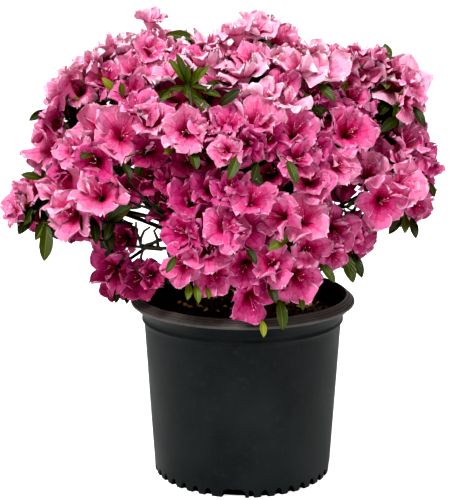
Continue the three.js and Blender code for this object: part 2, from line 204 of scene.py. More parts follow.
def facing_frame(facing: Array, roll: float) -> Array:
    """A turn that lays +Z along a direction.

    Args:
        facing: Where +Z goes.
        roll: The turn about it, in radians.

    Returns:
        A 3 by 3 matrix whose columns are the turned axes.
    """
    side = unit(np.cross([0.31, 0.17, 1.0] if abs(facing[2]) < 0.9 else [1.0, 0.2, 0.1], facing))
    over = np.cross(facing, side)
    across = side * math.cos(roll) + over * math.sin(roll)
    return np.column_stack([across, np.cross(facing, across), facing])


class Draws:
    """Seeded draws between 0 and 1, the same on every run and in the part's own rule."""

    def __init__(self, seed: int) -> None:
        """Starts the draws at a seed."""
        self.state = seed

    def next(self) -> float:
        """The next draw."""
        self.state = (self.state * 16807) % 2147483647
        return self.state / 2147483647

    def turn(self) -> float:
        """A draw of an angle in the full circle, in radians."""
        return self.next() * 2 * math.pi

    def around(self, spread: float) -> float:
        """A draw evenly between minus and plus a spread."""
        return (self.next() * 2 - 1) * spread

    def between(self, low: float, high: float) -> float:
        """A draw evenly between two values."""
        return low + (high - low) * self.next()


@dataclass
class Shape:
    """A small mesh: its points, its faces, the zone of each face and each point's place on its blade."""

    points: Array
    faces: Array
    zones: Array
    spots: Array

    def placed(self, turn: Array, size: float, point: Array) -> "Shape":
        """A copy that is turned by a 3 by 3 matrix, scaled, and moved to a point."""
        return replace(self, points=self.points @ turn.T * size + point)


def joined(shapes: Sequence[Shape]) -> Shape:
    """Several shapes as one.

    Args:
        shapes: The shapes.

    Returns:
        One shape with all of their faces.
    """
    starts = np.cumsum([0] + [len(s.points) for s in shapes[:-1]])
    faces = [np.where(s.faces == TRIANGLE, TRIANGLE, s.faces + n) for s, n in zip(shapes, starts)]
    return Shape(
        np.concatenate([s.points for s in shapes]),
        np.concatenate(faces),
        np.concatenate([s.zones for s in shapes]),
        np.concatenate([s.spots for s in shapes]),
    )


def solid(points: Sequence, faces: Sequence, zone: int) -> Shape:
    """A small shape in one zone, whose points have no place on a blade."""
    return Shape(np.array(points), np.array(faces), np.full(len(faces), zone), np.zeros((len(points), 2)))


def grid(points: Array, zones: Array | int, spots: Array | None = None, ring: bool = False) -> Shape:
    """A sheet of four-sided faces.

    Args:
        points: Its points, by row and column.
        zones: The zone of each face, by row and column, or one for all.
        spots: Each point's place on its blade, by row and column.
        ring: Whether the last column joins the first.

    Returns:
        The sheet as a shape.
    """
    rows, columns = points.shape[:2]
    number = np.arange(rows * columns).reshape(rows, columns)
    if ring:
        number = np.concatenate([number, number[:, :1]], axis=1)
    corners = np.stack([number[:-1, :-1], number[:-1, 1:], number[1:, 1:], number[1:, :-1]], axis=-1)
    faces = corners.reshape(-1, 4)
    kinds = np.broadcast_to(zones, corners.shape[:2]).reshape(-1)
    places = np.zeros((rows * columns, 2)) if spots is None else spots.reshape(-1, 2)
    return Shape(points.reshape(-1, 3), faces, kinds, places)


def tube(path: Array, radii: Array, sides: int, zone: int = 0) -> Shape:
    """A round limb along a path, closed at its far end.

    Args:
        path: Points along its middle.
        radii: Its radius at each.
        sides: How many sides it has.
        zone: The zone of its faces.

    Returns:
        The limb as a shape.
    """
    ways = np.gradient(path, axis=0)
    ways /= np.linalg.norm(ways, axis=1, keepdims=True)
    side = unit(np.cross(ways[0], [0.3, 0.5, 0.8]))
    angles = bearings(sides)
    rings = []
    for middle, way, radius in zip(path, ways, radii):
        side = unit(side - way * np.dot(side, way))
        over = np.cross(way, side)
        rings.append(middle + radius * (np.outer(np.cos(angles), side) + np.outer(np.sin(angles), over)))
    along = np.linspace(0, 1, len(path))
    spots = stacked(along[:, None], (angles / math.pi - 1)[None, :])
    wall = grid(np.array(rings), zone, spots, ring=True)
    last = len(wall.points)
    tip = path[-1] + ways[-1] * radii[-1] * TIP_SHARE
    edge = np.arange(last - sides, last)
    cap = np.stack([edge, np.roll(edge, -1), np.full(sides, last), np.full(sides, TRIANGLE)], axis=1)
    return Shape(
        np.vstack([wall.points, tip]),
        np.vstack([wall.faces, cap]),
        np.concatenate([wall.zones, np.full(sides, zone)]),
        np.vstack([wall.spots, [1.0, 0.0]]),
    )


class Pile:
    """Shapes gathered to become one mesh."""

    def __init__(self, *shapes: Shape) -> None:
        """Starts with the shapes given."""
        self.shapes = list(shapes)

    def add(self, shape: Shape, first: int = 0) -> None:
        """Adds a shape whose zones count from a first material."""
        self.shapes.append(replace(shape, zones=shape.zones + first))

    def to_object(self, name: str, materials: Sequence[Material], crease: float = 180) -> bpy.types.Object:
        """One object of everything gathered, in metres.

        Args:
            name: Its name.
            materials: Its materials, in the order of the zones.
            crease: Edges sharper than this many degrees stay sharp.

        Returns:
            The object.
        """
        whole = joined(self.shapes)
        used, kinds = np.unique(whole.zones, return_inverse=True)
        real = whole.faces != TRIANGLE
        corners = whole.faces[real]
        lengths = real.sum(axis=1)
        mesh = bpy.data.meshes.new(name)
        mesh.vertices.add(len(whole.points))
        mesh.vertices.foreach_set("co", (whole.points * MM).astype(np.float32).ravel())
        mesh.loops.add(len(corners))
        mesh.loops.foreach_set("vertex_index", corners.astype(np.int32))
        mesh.polygons.add(len(lengths))
        mesh.polygons.foreach_set("loop_start", np.concatenate([[0], np.cumsum(lengths)[:-1]]).astype(np.int32))
        mesh.polygons.foreach_set("material_index", kinds.astype(np.int32))
        mesh.polygons.foreach_set("use_smooth", np.ones(len(lengths), dtype=bool))
        mesh.uv_layers.new(name="blade").data.foreach_set("uv", whole.spots[corners].astype(np.float32).ravel())
        for slot in used:
            mesh.materials.append(materials[slot])
        mesh.update(calc_edges=True)
        mesh.validate()
        if crease < 180:
            mesh.set_sharp_from_angle(angle=math.radians(crease))
        piece = bpy.data.objects.new(name, mesh)
        bpy.context.collection.objects.link(piece)
        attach(piece, "root")
        log.info("%s: %d faces, %d materials", name, len(lengths), len(used))
        return piece


class Bezier:
    """A Bezier curve that is read by its share of length."""

    SAMPLES = 160

    def __init__(self, *handles: Array) -> None:
        """Works out the curve from its handles.

        Args:
            handles: Its ends, and between them what it bends towards.
        """
        t = np.linspace(0, 1, self.SAMPLES)[:, None]
        order = len(handles) - 1
        weights = [math.comb(order, k) * t**k * (1 - t) ** (order - k) for k in range(order + 1)]
        self.path = sum(w * h for w, h in zip(weights, handles))
        steps = np.linalg.norm(np.diff(self.path, axis=0), axis=1)
        self.length = float(steps.sum())
        self.shares = np.concatenate([[0], np.cumsum(steps)]) / self.length

    def at(self, share: float | Array) -> Array:
        """The point, or points, at a share of the length."""
        return np.stack([np.interp(share, self.shares, self.path[:, k]) for k in range(3)], axis=-1)

    def way(self, share: float) -> Array:
        """The curve's direction at a share of the length."""
        near = 0.01
        return unit(self.at(min(share + near, 1.0)) - self.at(max(share - near, 0.0)))


class Sheet:
    """A material's or a group's nodes, added and linked by name."""

    def __init__(self, tree: NodeTree) -> None:
        """Wraps a node tree."""
        self.tree = tree

    def add(self, kind: str, values: dict | None = None, **settings: object) -> bpy.types.Node:
        """Adds a node.

        Args:
            kind: Its type, such as "ShaderNodeTexNoise".
            values: Numbers or links for its inputs, by name or place.
            settings: Its other properties.

        Returns:
            The node.
        """
        node = self.tree.nodes.new(kind)
        for name, value in settings.items():
            setattr(node, name, value)
        self.fill(node, values or {})
        return node

    def fill(self, node: bpy.types.Node, values: dict) -> None:
        """Sets or links a node's inputs.

        Args:
            node: The node.
            values: Numbers or links for its inputs, by name or place.
        """
        for name, value in values.items():
            if isinstance(value, Socket):
                self.tree.links.new(value, node.inputs[name])
            else:
                node.inputs[name].default_value = value

    def math(self, operation: str, *values: object) -> Socket:
        """The result of a Math node on one, two or three numbers or links."""
        return self.add("ShaderNodeMath", dict(enumerate(values)), operation=operation).outputs[0]

    def places(self) -> Socket:
        """The places on the piece, in metres."""
        return self.add("ShaderNodeTexCoord").outputs["Object"]

    def cloud(self, where: Socket, scale: object, detail: object) -> Socket:
        """A soft noise over the given places."""
        return self.add("ShaderNodeTexNoise", {"Vector": where, "Scale": scale, "Detail": detail}).outputs[0]

    def group(self, tree: NodeTree, **values: float) -> Socket:
        """What a shared group gives for this material's own values."""
        return self.add("ShaderNodeGroup", values, node_tree=tree).outputs[0]

    def mix(self, share: object, first: object, second: object) -> Socket:
        """A colour between two, by a share."""
        node = self.add("ShaderNodeMix", {0: share, 6: first, 7: second}, data_type="RGBA")
        return node.outputs[2]

    def ramp(self, value: Socket, low: object, high: object) -> Socket:
        """A value's share of the way from low to high, between 0 and 1."""
        values = {"Value": value, "From Min": low, "From Max": high}
        return self.add("ShaderNodeMapRange", values, clamp=True).outputs[0]


class Effects:
    """The shader node groups that several finishes use, each built once."""

    def __init__(self) -> None:
        """Builds the groups."""
        self.mottle = self.make_mottle()
        self.grain = self.make_grain()
        self.veins = self.make_veins()
        self.settled = self.make_settled()

    @staticmethod
    def new_group(name: str, inputs: dict[str, float], output: str) -> tuple[Sheet, dict, Socket]:
        """A group with number inputs and one number output.

        Args:
            name: The group's name.
            inputs: Its inputs and their usual values.
            output: Its output's name.

        Returns:
            Its nodes, its inputs as links, and the socket that takes its output.
        """
        tree = bpy.data.node_groups.new(name, "ShaderNodeTree")
        for title, value in inputs.items():
            socket = tree.interface.new_socket(title, in_out="INPUT", socket_type="NodeSocketFloat")
            socket.default_value = value
        tree.interface.new_socket(output, in_out="OUTPUT", socket_type="NodeSocketFloat")
        sheet = Sheet(tree)
        entry = sheet.add("NodeGroupInput")
        links = {title: entry.outputs[title] for title in inputs}
        return sheet, links, sheet.add("NodeGroupOutput").inputs[output]

    def make_mottle(self) -> NodeTree:
        """Uneven patches, large and small, as a mask between 0 and 1.

        Returns:
            The group.
        """
        sheet, given, out = self.new_group("Mottle", {"Scale": 40, "Detail": 4, "Low": 0.35, "High": 0.65}, "Mask")
        cloud = sheet.cloud(sheet.places(), given["Scale"], given["Detail"])
        sheet.tree.links.new(sheet.ramp(cloud, given["Low"], given["High"]), out)
        return sheet.tree

    def make_grain(self) -> NodeTree:
        """The fine pits of a surface with a coarser roll under them, as a height.

        Returns:
            The group.
        """
        sheet, given, out = self.new_group("Grain", {"Scale": 900, "Roll": 60, "Share": 0.4}, "Height")
        where = sheet.places()
        coarse = sheet.math("MULTIPLY", sheet.cloud(where, given["Roll"], 2), given["Share"])
        sheet.tree.links.new(sheet.math("ADD", sheet.cloud(where, given["Scale"], 3), coarse), out)
        return sheet.tree

    def make_veins(self) -> NodeTree:
        """Veins drawn over a blade by its own places, along it and aslant from its midrib, as a height.

        Returns:
            The group.
        """
        sheet, given, out = self.new_group("Veins", {"Along": 0, "Across": 40, "Waver": 2}, "Height")
        place = sheet.add("ShaderNodeUVMap", uv_map="blade").outputs["UV"]
        parts = sheet.add("ShaderNodeSeparateXYZ", {0: place})
        bend = sheet.cloud(place, 3, 2)
        side = sheet.math("MULTIPLY", sheet.math("ABSOLUTE", parts.outputs["Y"]), given["Across"])
        along = sheet.math("MULTIPLY_ADD", parts.outputs["X"], given["Along"], side)
        wave = sheet.math("SINE", sheet.math("MULTIPLY_ADD", bend, given["Waver"], along))
        sheet.tree.links.new(wave, out)
        return sheet.tree

    def make_settled(self) -> NodeTree:
        """Where dust settles: on what faces up, in patches, as a mask.

        Returns:
            The group.
        """
        sheet, given, out = self.new_group("Settled dust", {"Scale": 30, "Amount": 0.5}, "Mask")
        geometry = sheet.add("ShaderNodeNewGeometry")
        lift = sheet.add("ShaderNodeSeparateXYZ", {0: geometry.outputs["Normal"]}).outputs["Z"]
        patch = sheet.ramp(sheet.cloud(sheet.places(), given["Scale"], 5), 0.4, 0.7)
        mask = sheet.math("MULTIPLY", sheet.math("MULTIPLY", sheet.ramp(lift, 0.1, 0.9), patch), given["Amount"])
        sheet.tree.links.new(mask, out)
        return sheet.tree


@dataclass(frozen=True)
class Finish:
    """What every finish has: a name, a roughness and a way to become a material."""

    name: str
    roughness: float

    def start(self) -> tuple[Material, Sheet, bpy.types.Node]:
        """Starts a new material.

        Returns:
            The material, its nodes and its shader.
        """
        material = bpy.data.materials.new(self.name)
        material.use_nodes = True
        shader = material.node_tree.nodes["Principled BSDF"]
        shader.inputs["Roughness"].default_value = self.roughness
        return material, Sheet(material.node_tree), shader

    @staticmethod
    def relief(sheet: Sheet, shader: bpy.types.Node, height: Socket, depth: float) -> None:
        """Lets a height dent the surface, as deep as the given millimetres."""
        bump = sheet.add("ShaderNodeBump", {"Height": height, "Strength": 1.0, "Distance": depth * MM})
        sheet.fill(shader, {"Normal": bump.outputs[0]})


@dataclass(frozen=True)
class Plastic(Finish):
    """Moulded plastic with a cloudy bloom, scuffs and settled dust."""

    CLOUD_SCALE = 14
    CLOUDED = 0.5
    SCUFFS = {"Scale": 160, "Detail": 8, "Low": 0.56, "High": 0.72}
    SCUFFED = 0.35
    CLOUD_ROUGHER = 0.12
    DUST_ROUGHER = 0.3
    GRAIN_DEPTH = 0.05

    colour: str
    worn: str
    dust: str
    dustiness: float
    gloss: float = 0.25

    def make(self, effects: Effects) -> Material:
        """The material.

        Args:
            effects: The shared node groups.

        Returns:
            The plastic.
        """
        material, sheet, shader = self.start()
        cloud = sheet.group(effects.mottle, Scale=self.CLOUD_SCALE)
        scuff = sheet.group(effects.mottle, **self.SCUFFS)
        dust = sheet.group(effects.settled, Amount=self.dustiness)
        body = sheet.mix(sheet.math("MULTIPLY", cloud, self.CLOUDED), linear(self.colour), linear(self.worn))
        marked = sheet.mix(sheet.math("MULTIPLY", scuff, self.SCUFFED), body, linear(self.worn))
        dusty = sheet.mix(dust, marked, linear(self.dust))
        rough = sheet.math("MULTIPLY_ADD", cloud, self.CLOUD_ROUGHER, self.roughness)
        rougher = sheet.math("MULTIPLY_ADD", dust, self.DUST_ROUGHER, rough)
        sheet.fill(shader, {"Base Color": dusty, "Roughness": rougher, "Specular IOR Level": self.gloss})
        self.relief(sheet, shader, sheet.group(effects.grain), self.GRAIN_DEPTH)
        return material


@dataclass(frozen=True)
class Earth(Finish):
    """Damp crumbs, bark chips or bark: two colours in patches over a rough grain."""

    PATCHES = {"Detail": 6, "Low": 0.4, "High": 0.7}
    GRAIN_SCALE = 1400
    LIGHT_ROUGHER = 0.1

    dark: str
    light: str
    scale: float = 220
    depth: float = 0.5

    def make(self, effects: Effects) -> Material:
        """The material.

        Args:
            effects: The shared node groups.

        Returns:
            The earth or the bark.
        """
        material, sheet, shader = self.start()
        patch = sheet.group(effects.mottle, Scale=self.scale, **self.PATCHES)
        colour = sheet.mix(patch, linear(self.dark), linear(self.light))
        rough = sheet.math("MULTIPLY_ADD", patch, self.LIGHT_ROUGHER, self.roughness)
        sheet.fill(shader, {"Base Color": colour, "Roughness": rough})
        grain = sheet.group(effects.grain, Scale=self.GRAIN_SCALE, Roll=self.scale)
        self.relief(sheet, shader, grain, self.depth)
        return material


@dataclass(frozen=True)
class Blade(Finish):
    """A petal or a leaf: one plain colour under veins that are pressed into it."""

    colour: str
    along: float = 0
    across: float = 40
    depth: float = 0.2
    gloss: float = 0.3

    def make(self, effects: Effects) -> Material:
        """The material.

        Args:
            effects: The shared node groups.

        Returns:
            The finish of the blade.
        """
        material, sheet, shader = self.start()
        sheet.fill(shader, {"Base Color": linear(self.colour), "Specular IOR Level": self.gloss})
        veins = sheet.group(effects.veins, Along=self.along, Across=self.across)
        self.relief(sheet, shader, veins, self.depth)
        return material


@dataclass
class Spray:
    """One of the crown's sprays, as in the part's own table."""

    HIGH = 465  # from this height on a spray counts as the top
    TOP_HALF = 60  # the bearings, off the front, that part the regions
    FRONT_HALF = 50
    BACK_FROM = 125

    name: str
    bearing: float
    reach: float
    height: float
    spread: float
    blooms: int
    parent: str
    share: float

    @property
    def centre(self) -> Array:
        """Where its middle lies."""
        angle = math.radians(self.bearing)
        return np.array([self.reach * math.sin(angle), -self.reach * math.cos(angle), self.height])

    @property
    def outward(self) -> Array:
        """Which way it faces from the crown's heart."""
        return unit(self.centre - HEART)

    @property
    def region(self) -> Region:
        """The part of the crown that it belongs to.

        Returns:
            The region.
        """
        off = abs(self.bearing)
        if self.height > self.HIGH:
            return Region.TOP if off < self.TOP_HALF else Region.TOP_BACK
        if off < self.FRONT_HALF:
            return Region.FRONT
        if off > self.BACK_FROM:
            return Region.BACK
        return Region.LEFT if self.bearing < 0 else Region.RIGHT


SPRAYS = [
    Spray(*row)
    for row in (
        ("heart", 8, 142, 428, 56, 6, "stem", 0.97),
        ("left_front", -60, 188, 406, 56, 5, "stem", 0.9),
        ("right_front", 42, 148, 412, 54, 5, "stem", 0.86),
        ("back_mid", 180, 200, 420, 62, 5, "stem", 0.93),
        ("back_left", -128, 205, 420, 60, 5, "stem", 0.8),
        ("back_right", 130, 190, 425, 60, 5, "stem", 0.75),
        ("crest", 30, 20, 520, 60, 5, "stem", 0.995),
        ("left_low", -84, 246, 366, 38, 4, "stem", 0.62),
        ("right_low", 53, 130, 328, 44, 4, "stem", 0.58),
        ("front_low", 8, 166, 300, 28, 3, "stem", 0.5),
        ("back_low_left", -150, 185, 320, 54, 4, "stem", 0.5),
        ("back_low_right", 154, 186, 324, 54, 4, "stem", 0.45),
        ("peak", -90, 118, 508, 52, 5, "crest", 0.3),
        ("right_shoulder", 92, 134, 476, 56, 5, "crest", 0.42),
        ("back_top", 165, 120, 500, 60, 5, "back_mid", 0.4),
        ("back_top_left", -135, 155, 490, 56, 4, "back_left", 0.4),
        ("left_shoulder", -88, 204, 462, 50, 5, "peak", 0.3),
        ("left_mid", -96, 220, 412, 46, 4, "left_front", 0.35),
        ("right_high", 88, 190, 464, 44, 4, "right_front", 0.35),
        ("right_far", 97, 200, 400, 44, 4, "back_right", 0.35),
        ("right_mid", 70, 172, 385, 44, 4, "right_front", 0.5),
        ("upper_front_left", -50, 140, 470, 54, 5, "left_front", 0.5),
        ("upper_front_mid", -8, 105, 492, 50, 4, "heart", 0.35),
        ("upper_front_right", 40, 120, 482, 52, 5, "heart", 0.5),
        ("front_left_low", -22, 148, 332, 56, 6, "left_front", 0.2),
        ("front_right_low", 22, 152, 338, 50, 5, "right_low", 0.35),
        ("low_left", -73, 168, 270, 30, 3, "left_low", 0.4),
        ("back_left_low", -112, 190, 325, 50, 4, "back_low_left", 0.4),
    )
]


@dataclass
class Site:
    """Where a flower stands: its place, its facing, its roll and the spray that it belongs to."""

    spray: Spray
    point: Array
    facing: Array
    roll: float


@dataclass
class Limb:
    """A limb's middle line and its radius for each share of the way."""

    curve: Bezier
    radius_at: Callable[[float], float]


class Growth:
    """The part's own rule: its limbs, and the places of its blooms."""

    FIRST_SEED = 1000
    SEED_STEP = 77
    STEM_FOOT = np.array([4.0, -2.0, 210.35])
    STEM_HEIGHT = 52
    STEM_LEAN = (-8, -4)
    STEM_FLARE = 17
    FLARE_SHARE = 0.25
    STEM_RADII = (10.5, 8.5)
    BOUGH_TIP = 1.9
    PER_SPRAY = 2.5
    SLIMMER = 0.8
    ALONG = 0.7
    STRAIGHT = 1.6
    LEAVE = 0.34
    ARRIVE = 0.27
    SHORT = 0.62
    DOME_ANGLE = 88
    DOME_START = 0.55
    DOME_STRAY = 0.12
    TURN_STRAY = 0.25
    DOME_HEIGHT = 0.75
    DOME_WIDTH = 1.05
    FACING_SIDE = 0.8
    FACING_LIFT = 0.35
    DISTANCE = 64
    ROUNDS = 80
    PUSH = 0.3
    PULL = 0.02
    SPIRE = ("peak", (-106.0, -6.0, 549.0), (-0.8, -0.5, 0.35))

    def __init__(self) -> None:
        """Grows the limbs and shares out the blooms."""
        self.limbs = {"stem": self.stem()}
        for spray in SPRAYS:
            self.limbs[spray.name] = self.bough(spray)
        self.sites = self.share_out()

    def stem(self) -> Limb:
        """The short main stem, which flares at the mix and leans a little to its fork.

        Returns:
            The stem.
        """
        foot = self.STEM_FOOT
        tip = foot + [*self.STEM_LEAN, self.STEM_HEIGHT]
        above = foot + [0, 0, self.STEM_HEIGHT / 2]
        base, end = self.STEM_RADII

        def radius_at(share: float) -> float:
            """The stem's radius at a share of its length."""
            flare = (self.STEM_FLARE - base) * max(0.0, 1 - share / self.FLARE_SHARE) ** 2
            return base + (end - base) * share + flare

        return Limb(Bezier(foot, above, tip), radius_at)

    def spray_count(self, name: str) -> int:
        """How many sprays a limb carries: its own and those of the boughs that leave it."""
        return 1 + sum(self.spray_count(spray.name) for spray in SPRAYS if spray.parent == name)

    def bough(self, spray: Spray) -> Limb:
        """One tapering bough, from the middle of its parent to where its spray begins.

        Args:
            spray: The spray that it carries.

        Returns:
            The bough.
        """
        parent = self.limbs[spray.parent]
        start = parent.curve.at(spray.share)
        span = float(np.linalg.norm(spray.centre - start))
        aim = unit(spray.centre - start)
        leave = unit(parent.curve.way(spray.share) * self.ALONG + aim)
        arrive = unit(spray.outward + aim * self.STRAIGHT)
        end = spray.centre - arrive * self.SHORT * spray.spread
        curve = Bezier(start, start + leave * self.LEAVE * span, end - arrive * self.ARRIVE * span, end)
        widest = self.SLIMMER * parent.radius_at(spray.share)
        base = min(self.PER_SPRAY * math.sqrt(self.spray_count(spray.name)), widest)
        return Limb(curve, lambda share: base + (self.BOUGH_TIP - base) * share)

    def first_sites(self, spray: Spray, draws: Draws) -> list[Site]:
        """The first places of a spray's blooms: a golden-angle spiral over a flattened dome.

        Args:
            spray: The spray.
            draws: Its own draws.

        Returns:
            The places, before crowded ones push each other apart.
        """
        outward = spray.outward
        across = np.array([1.0, 0, 0]) if abs(outward[2]) > 0.95 else unit(np.cross(UP, outward))
        over = np.cross(outward, across)
        phase = draws.turn()
        sites = []
        for k in range(spray.blooms):
            polar = math.radians(self.DOME_ANGLE) * math.sqrt((k + self.DOME_START) / spray.blooms)
            polar += draws.around(self.DOME_STRAY)
            turn = k * GOLDEN_ANGLE + phase + draws.around(self.TURN_STRAY)
            rise = math.cos(polar)
            side = (across * math.cos(turn) + over * math.sin(turn)) * math.sin(polar)
            lift = outward * rise * spray.spread * self.DOME_HEIGHT
            point = spray.centre + lift + side * spray.spread * self.DOME_WIDTH
            facing = unit(side * self.FACING_SIDE + outward * (rise + self.FACING_LIFT))
            sites.append(Site(spray, point, facing, draws.turn()))
        return sites

    def share_out(self) -> list[Site]:
        """Every bloom's place, after crowded ones have pushed each other apart over the crown.

        Returns:
            The places.
        """
        sites = [
            site
            for i, spray in enumerate(SPRAYS)
            for site in self.first_sites(spray, Draws(self.FIRST_SEED + self.SEED_STEP * i))
        ]
        homes = [site.point.copy() for site in sites]
        for _ in range(self.ROUNDS):
            for i, site in enumerate(sites):
                for other in sites[i + 1 :]:
                    apart = other.point - site.point
                    lack = self.DISTANCE - float(np.linalg.norm(apart))
                    if lack > 0:
                        push = unit(apart) * lack * self.PUSH
                        other.point = other.point + push
                        site.point = site.point - push
            for site, home in zip(sites, homes):
                pulled = site.point + (home - site.point) * self.PULL - HEART
                site.point = HEART + unit(pulled) * float(np.linalg.norm(home - HEART))
        name, point, facing = self.SPIRE
        spray = next(spray for spray in SPRAYS if spray.name == name)
        return [Site(spray, np.array(point), unit(np.array(facing)), 0.0), *sites]


@dataclass(frozen=True)
class Lens:
    """The camera's view: where it stands, in millimetres, and its scale, in pixels of the photograph."""

    place: Triple = (-22.0, -1619.0, 635.5)
    pitch: float = 12.294
    focal: float = 1332.0
    middle: Pair = (225.0, 250.0)

    @property
    def axes(self) -> Array:
        """The camera's right, up and ahead, one in each row."""
        tilt = math.radians(self.pitch)
        return np.array([[1, 0, 0], [0, math.sin(tilt), math.cos(tilt)], [0, math.cos(tilt), -math.sin(tilt)]])

    def pixel(self, point: Array) -> Array:
        """The column and row where a point shows, and its depth."""
        right, up, ahead = self.axes @ (point - np.array(self.place))
        return np.array([self.middle[0] + self.focal * right / ahead, self.middle[1] - self.focal * up / ahead, ahead])

    def point(self, x: float, y: float, depth: float) -> Array:
        """The point that shows at a pixel, at a depth ahead of the camera."""
        offset = np.array([(x - self.middle[0]) / self.focal, (self.middle[1] - y) / self.focal, 1.0]) * depth
        return np.array(self.place) + self.axes.T @ offset

    def way(self, right: float, up: float) -> Array:
        """The direction that leans right and up from straight at the camera."""
        near = math.sqrt(max(0.04, 1 - right**2 - up**2))
        return unit(self.axes.T @ np.array([right, up, -near]))


# The flowers that show from the front: column, row, radius, leans to the right and up in hundredths, and tint.
# The deeper tints of flowers in the crown's recesses are partly painted shade.
SHOWN_FLOWERS = (
    (150, 17, 14, 0, 62, 0), (147, 37, 15, -30, 45, 0), (159, 37, 13, 30, 40, 1), (113, 47, 19, -35, 70, 0),
    (88, 59, 17, -30, 75, 0), (58, 84, 21, -55, 45, 1), (73, 67, 15, -35, 60, 0), (107, 43, 14, -30, 50, 0),
    (137, 68, 20, 35, 35, 1), (132, 46, 17, -10, 80, 0), (165, 68, 23, -30, 50, 0), (168, 46, 18, 10, 80, 0),
    (203, 58, 21, 25, 60, 0), (222, 78, 23, 30, 40, 0), (208, 40, 17, 0, 55, 0), (105, 78, 18, 10, 40, 2),
    (51, 108, 19, -50, 20, 2), (80, 104, 17, -20, 40, 1), (48, 143, 23, -20, 20, 1), (92, 132, 24, -15, 25, 1),
    (122, 132, 26, 15, 10, 1), (140, 106, 19, 10, 40, 2), (130, 90, 17, 0, 30, 2), (186, 130, 22, 0, -5, 1),
    (153, 118, 20, 20, 30, 1), (150, 150, 18, 10, 0, 4), (176, 95, 19, 0, 20, 4), (210, 125, 19, 10, 20, 2),
    (96, 163, 21, 0, -10, 3), (70, 148, 17, -20, 0, 1), (64, 166, 16, -30, -10, 3), (236, 28, 18, -30, 45, 0),
    (257, 25, 18, 0, 50, 0), (280, 37, 22, 15, 40, 1), (243, 68, 21, 0, 50, 0), (228, 48, 18, -10, 70, 1),
    (300, 62, 23, -15, 40, 0), (326, 66, 22, 25, 35, 0), (314, 49, 16, 10, 85, 0), (350, 53, 15, 0, 85, 1),
    (366, 50, 15, 10, 70, 1), (382, 57, 13, 40, 75, 1), (362, 73, 18, 10, 45, 1), (400, 79, 25, -10, 20, 0),
    (416, 84, 17, 40, 15, 1), (411, 103, 15, 30, -20, 1), (397, 66, 12, 20, 50, 1), (356, 95, 20, 10, 25, 2),
    (350, 130, 24, 0, 5, 2), (320, 114, 20, -25, 10, 2), (338, 110, 17, 10, 10, 2), (376, 122, 18, 60, 0, 4),
    (257, 115, 22, 10, 35, 1), (245, 145, 19, -15, -35, 3), (270, 138, 18, 10, -10, 3), (262, 92, 19, 0, 50, 0),
    (290, 98, 18, 10, 50, 0), (295, 130, 21, 15, 10, 2), (298, 157, 19, 20, -10, 2), (320, 150, 17, 30, 0, 3),
    (228, 122, 19, -15, 20, 2), (410, 140, 21, 35, 30, 2), (430, 158, 17, 50, 10, 3), (426, 142, 13, 45, 10, 2),
    (385, 162, 22, -5, 20, 2), (344, 160, 18, -10, 0, 4), (17, 201, 18, -40, 10, 1), (31, 187, 15, -35, 30, 1),
    (11, 214, 12, -40, -10, 2), (64, 190, 25, -15, 25, 1), (70, 216, 23, -10, -20, 1), (101, 192, 24, 10, 15, 1),
    (48, 208, 17, -30, 0, 4), (110, 268, 21, -20, 0, 3), (112, 288, 12, -20, -20, 4), (140, 280, 19, 0, -20, 4),
    (152, 275, 13, 20, 10, 4), (124, 236, 14, -10, 10, 4), (166, 202, 22, -35, 15, 4), (190, 198, 21, 0, 15, 3),
    (211, 190, 18, 10, 10, 3), (183, 233, 21, -25, 5, 3), (208, 250, 22, 5, 10, 2), (213, 276, 20, 0, -30, 2),
    (181, 265, 19, -35, -10, 2), (227, 226, 21, 20, 5, 2), (130, 190, 18, 30, 0, 4), (205, 222, 18, 0, 10, 3),
    (230, 188, 19, -10, 15, 3), (254, 196, 21, 10, 30, 2), (246, 228, 20, 0, 5, 3), (276, 216, 21, -30, 10, 2),
    (304, 216, 24, -5, 15, 1), (270, 172, 19, 0, -10, 4), (312, 178, 21, 20, 20, 2), (316, 197, 15, 10, 0, 2),
    (340, 176, 19, 0, 0, 4), (366, 170, 19, -30, 15, 1), (383, 203, 23, -10, -20, 2), (402, 184, 22, 15, 15, 1),
    (405, 163, 17, 20, 30, 2), (417, 203, 17, 40, 0, 2), (429, 175, 16, 50, 10, 3), (335, 230, 21, 10, -5, 2),
    (363, 233, 19, 45, 0, 3), (350, 250, 17, 30, -35, 2), (310, 250, 20, 10, -10, 2), (246, 266, 20, 0, -20, 3),
    (254, 301, 21.5, 25, -45, 3), (272, 262, 20, -20, 0, 2), (299, 278, 22, 10, -15, 2), (334, 257, 13, 20, -25, 2),
    (116, 286, 13, -30, -40, 4), (226, 150, 15, -10, -20, 1), (77, 88, 17, -20, 20, 1), (66, 101, 15, -30, 20, 2),
    (55, 122, 15, -30, 10, 2), (108, 60, 16, 0, 40, 1), (186, 55, 16, 0, 40, 2), (218, 58, 16, 0, 40, 2),
    (252, 56, 17, 0, 40, 1), (342, 59, 16, 10, 40, 1), (371, 64, 15, 10, 40, 1), (283, 84, 17, 0, 30, 2),
    (297, 44, 13, 20, 50, 1), (41, 130, 14, -50, 10, 2), (311, 92, 16, 10, 30, 3), (345, 78, 15, 0, 30, 2),
    (187, 160, 17, 0, 0, 4), (205, 156, 16, 0, 0, 4), (206, 95, 17, 0, 20, 4), (170, 178, 16, 0, 0, 4),
    (150, 176, 16, 0, 0, 4), (404, 118, 14, 20, 0, 4), (385, 100, 15, 10, 10, 4), (326, 220, 15, 0, 0, 4),
)

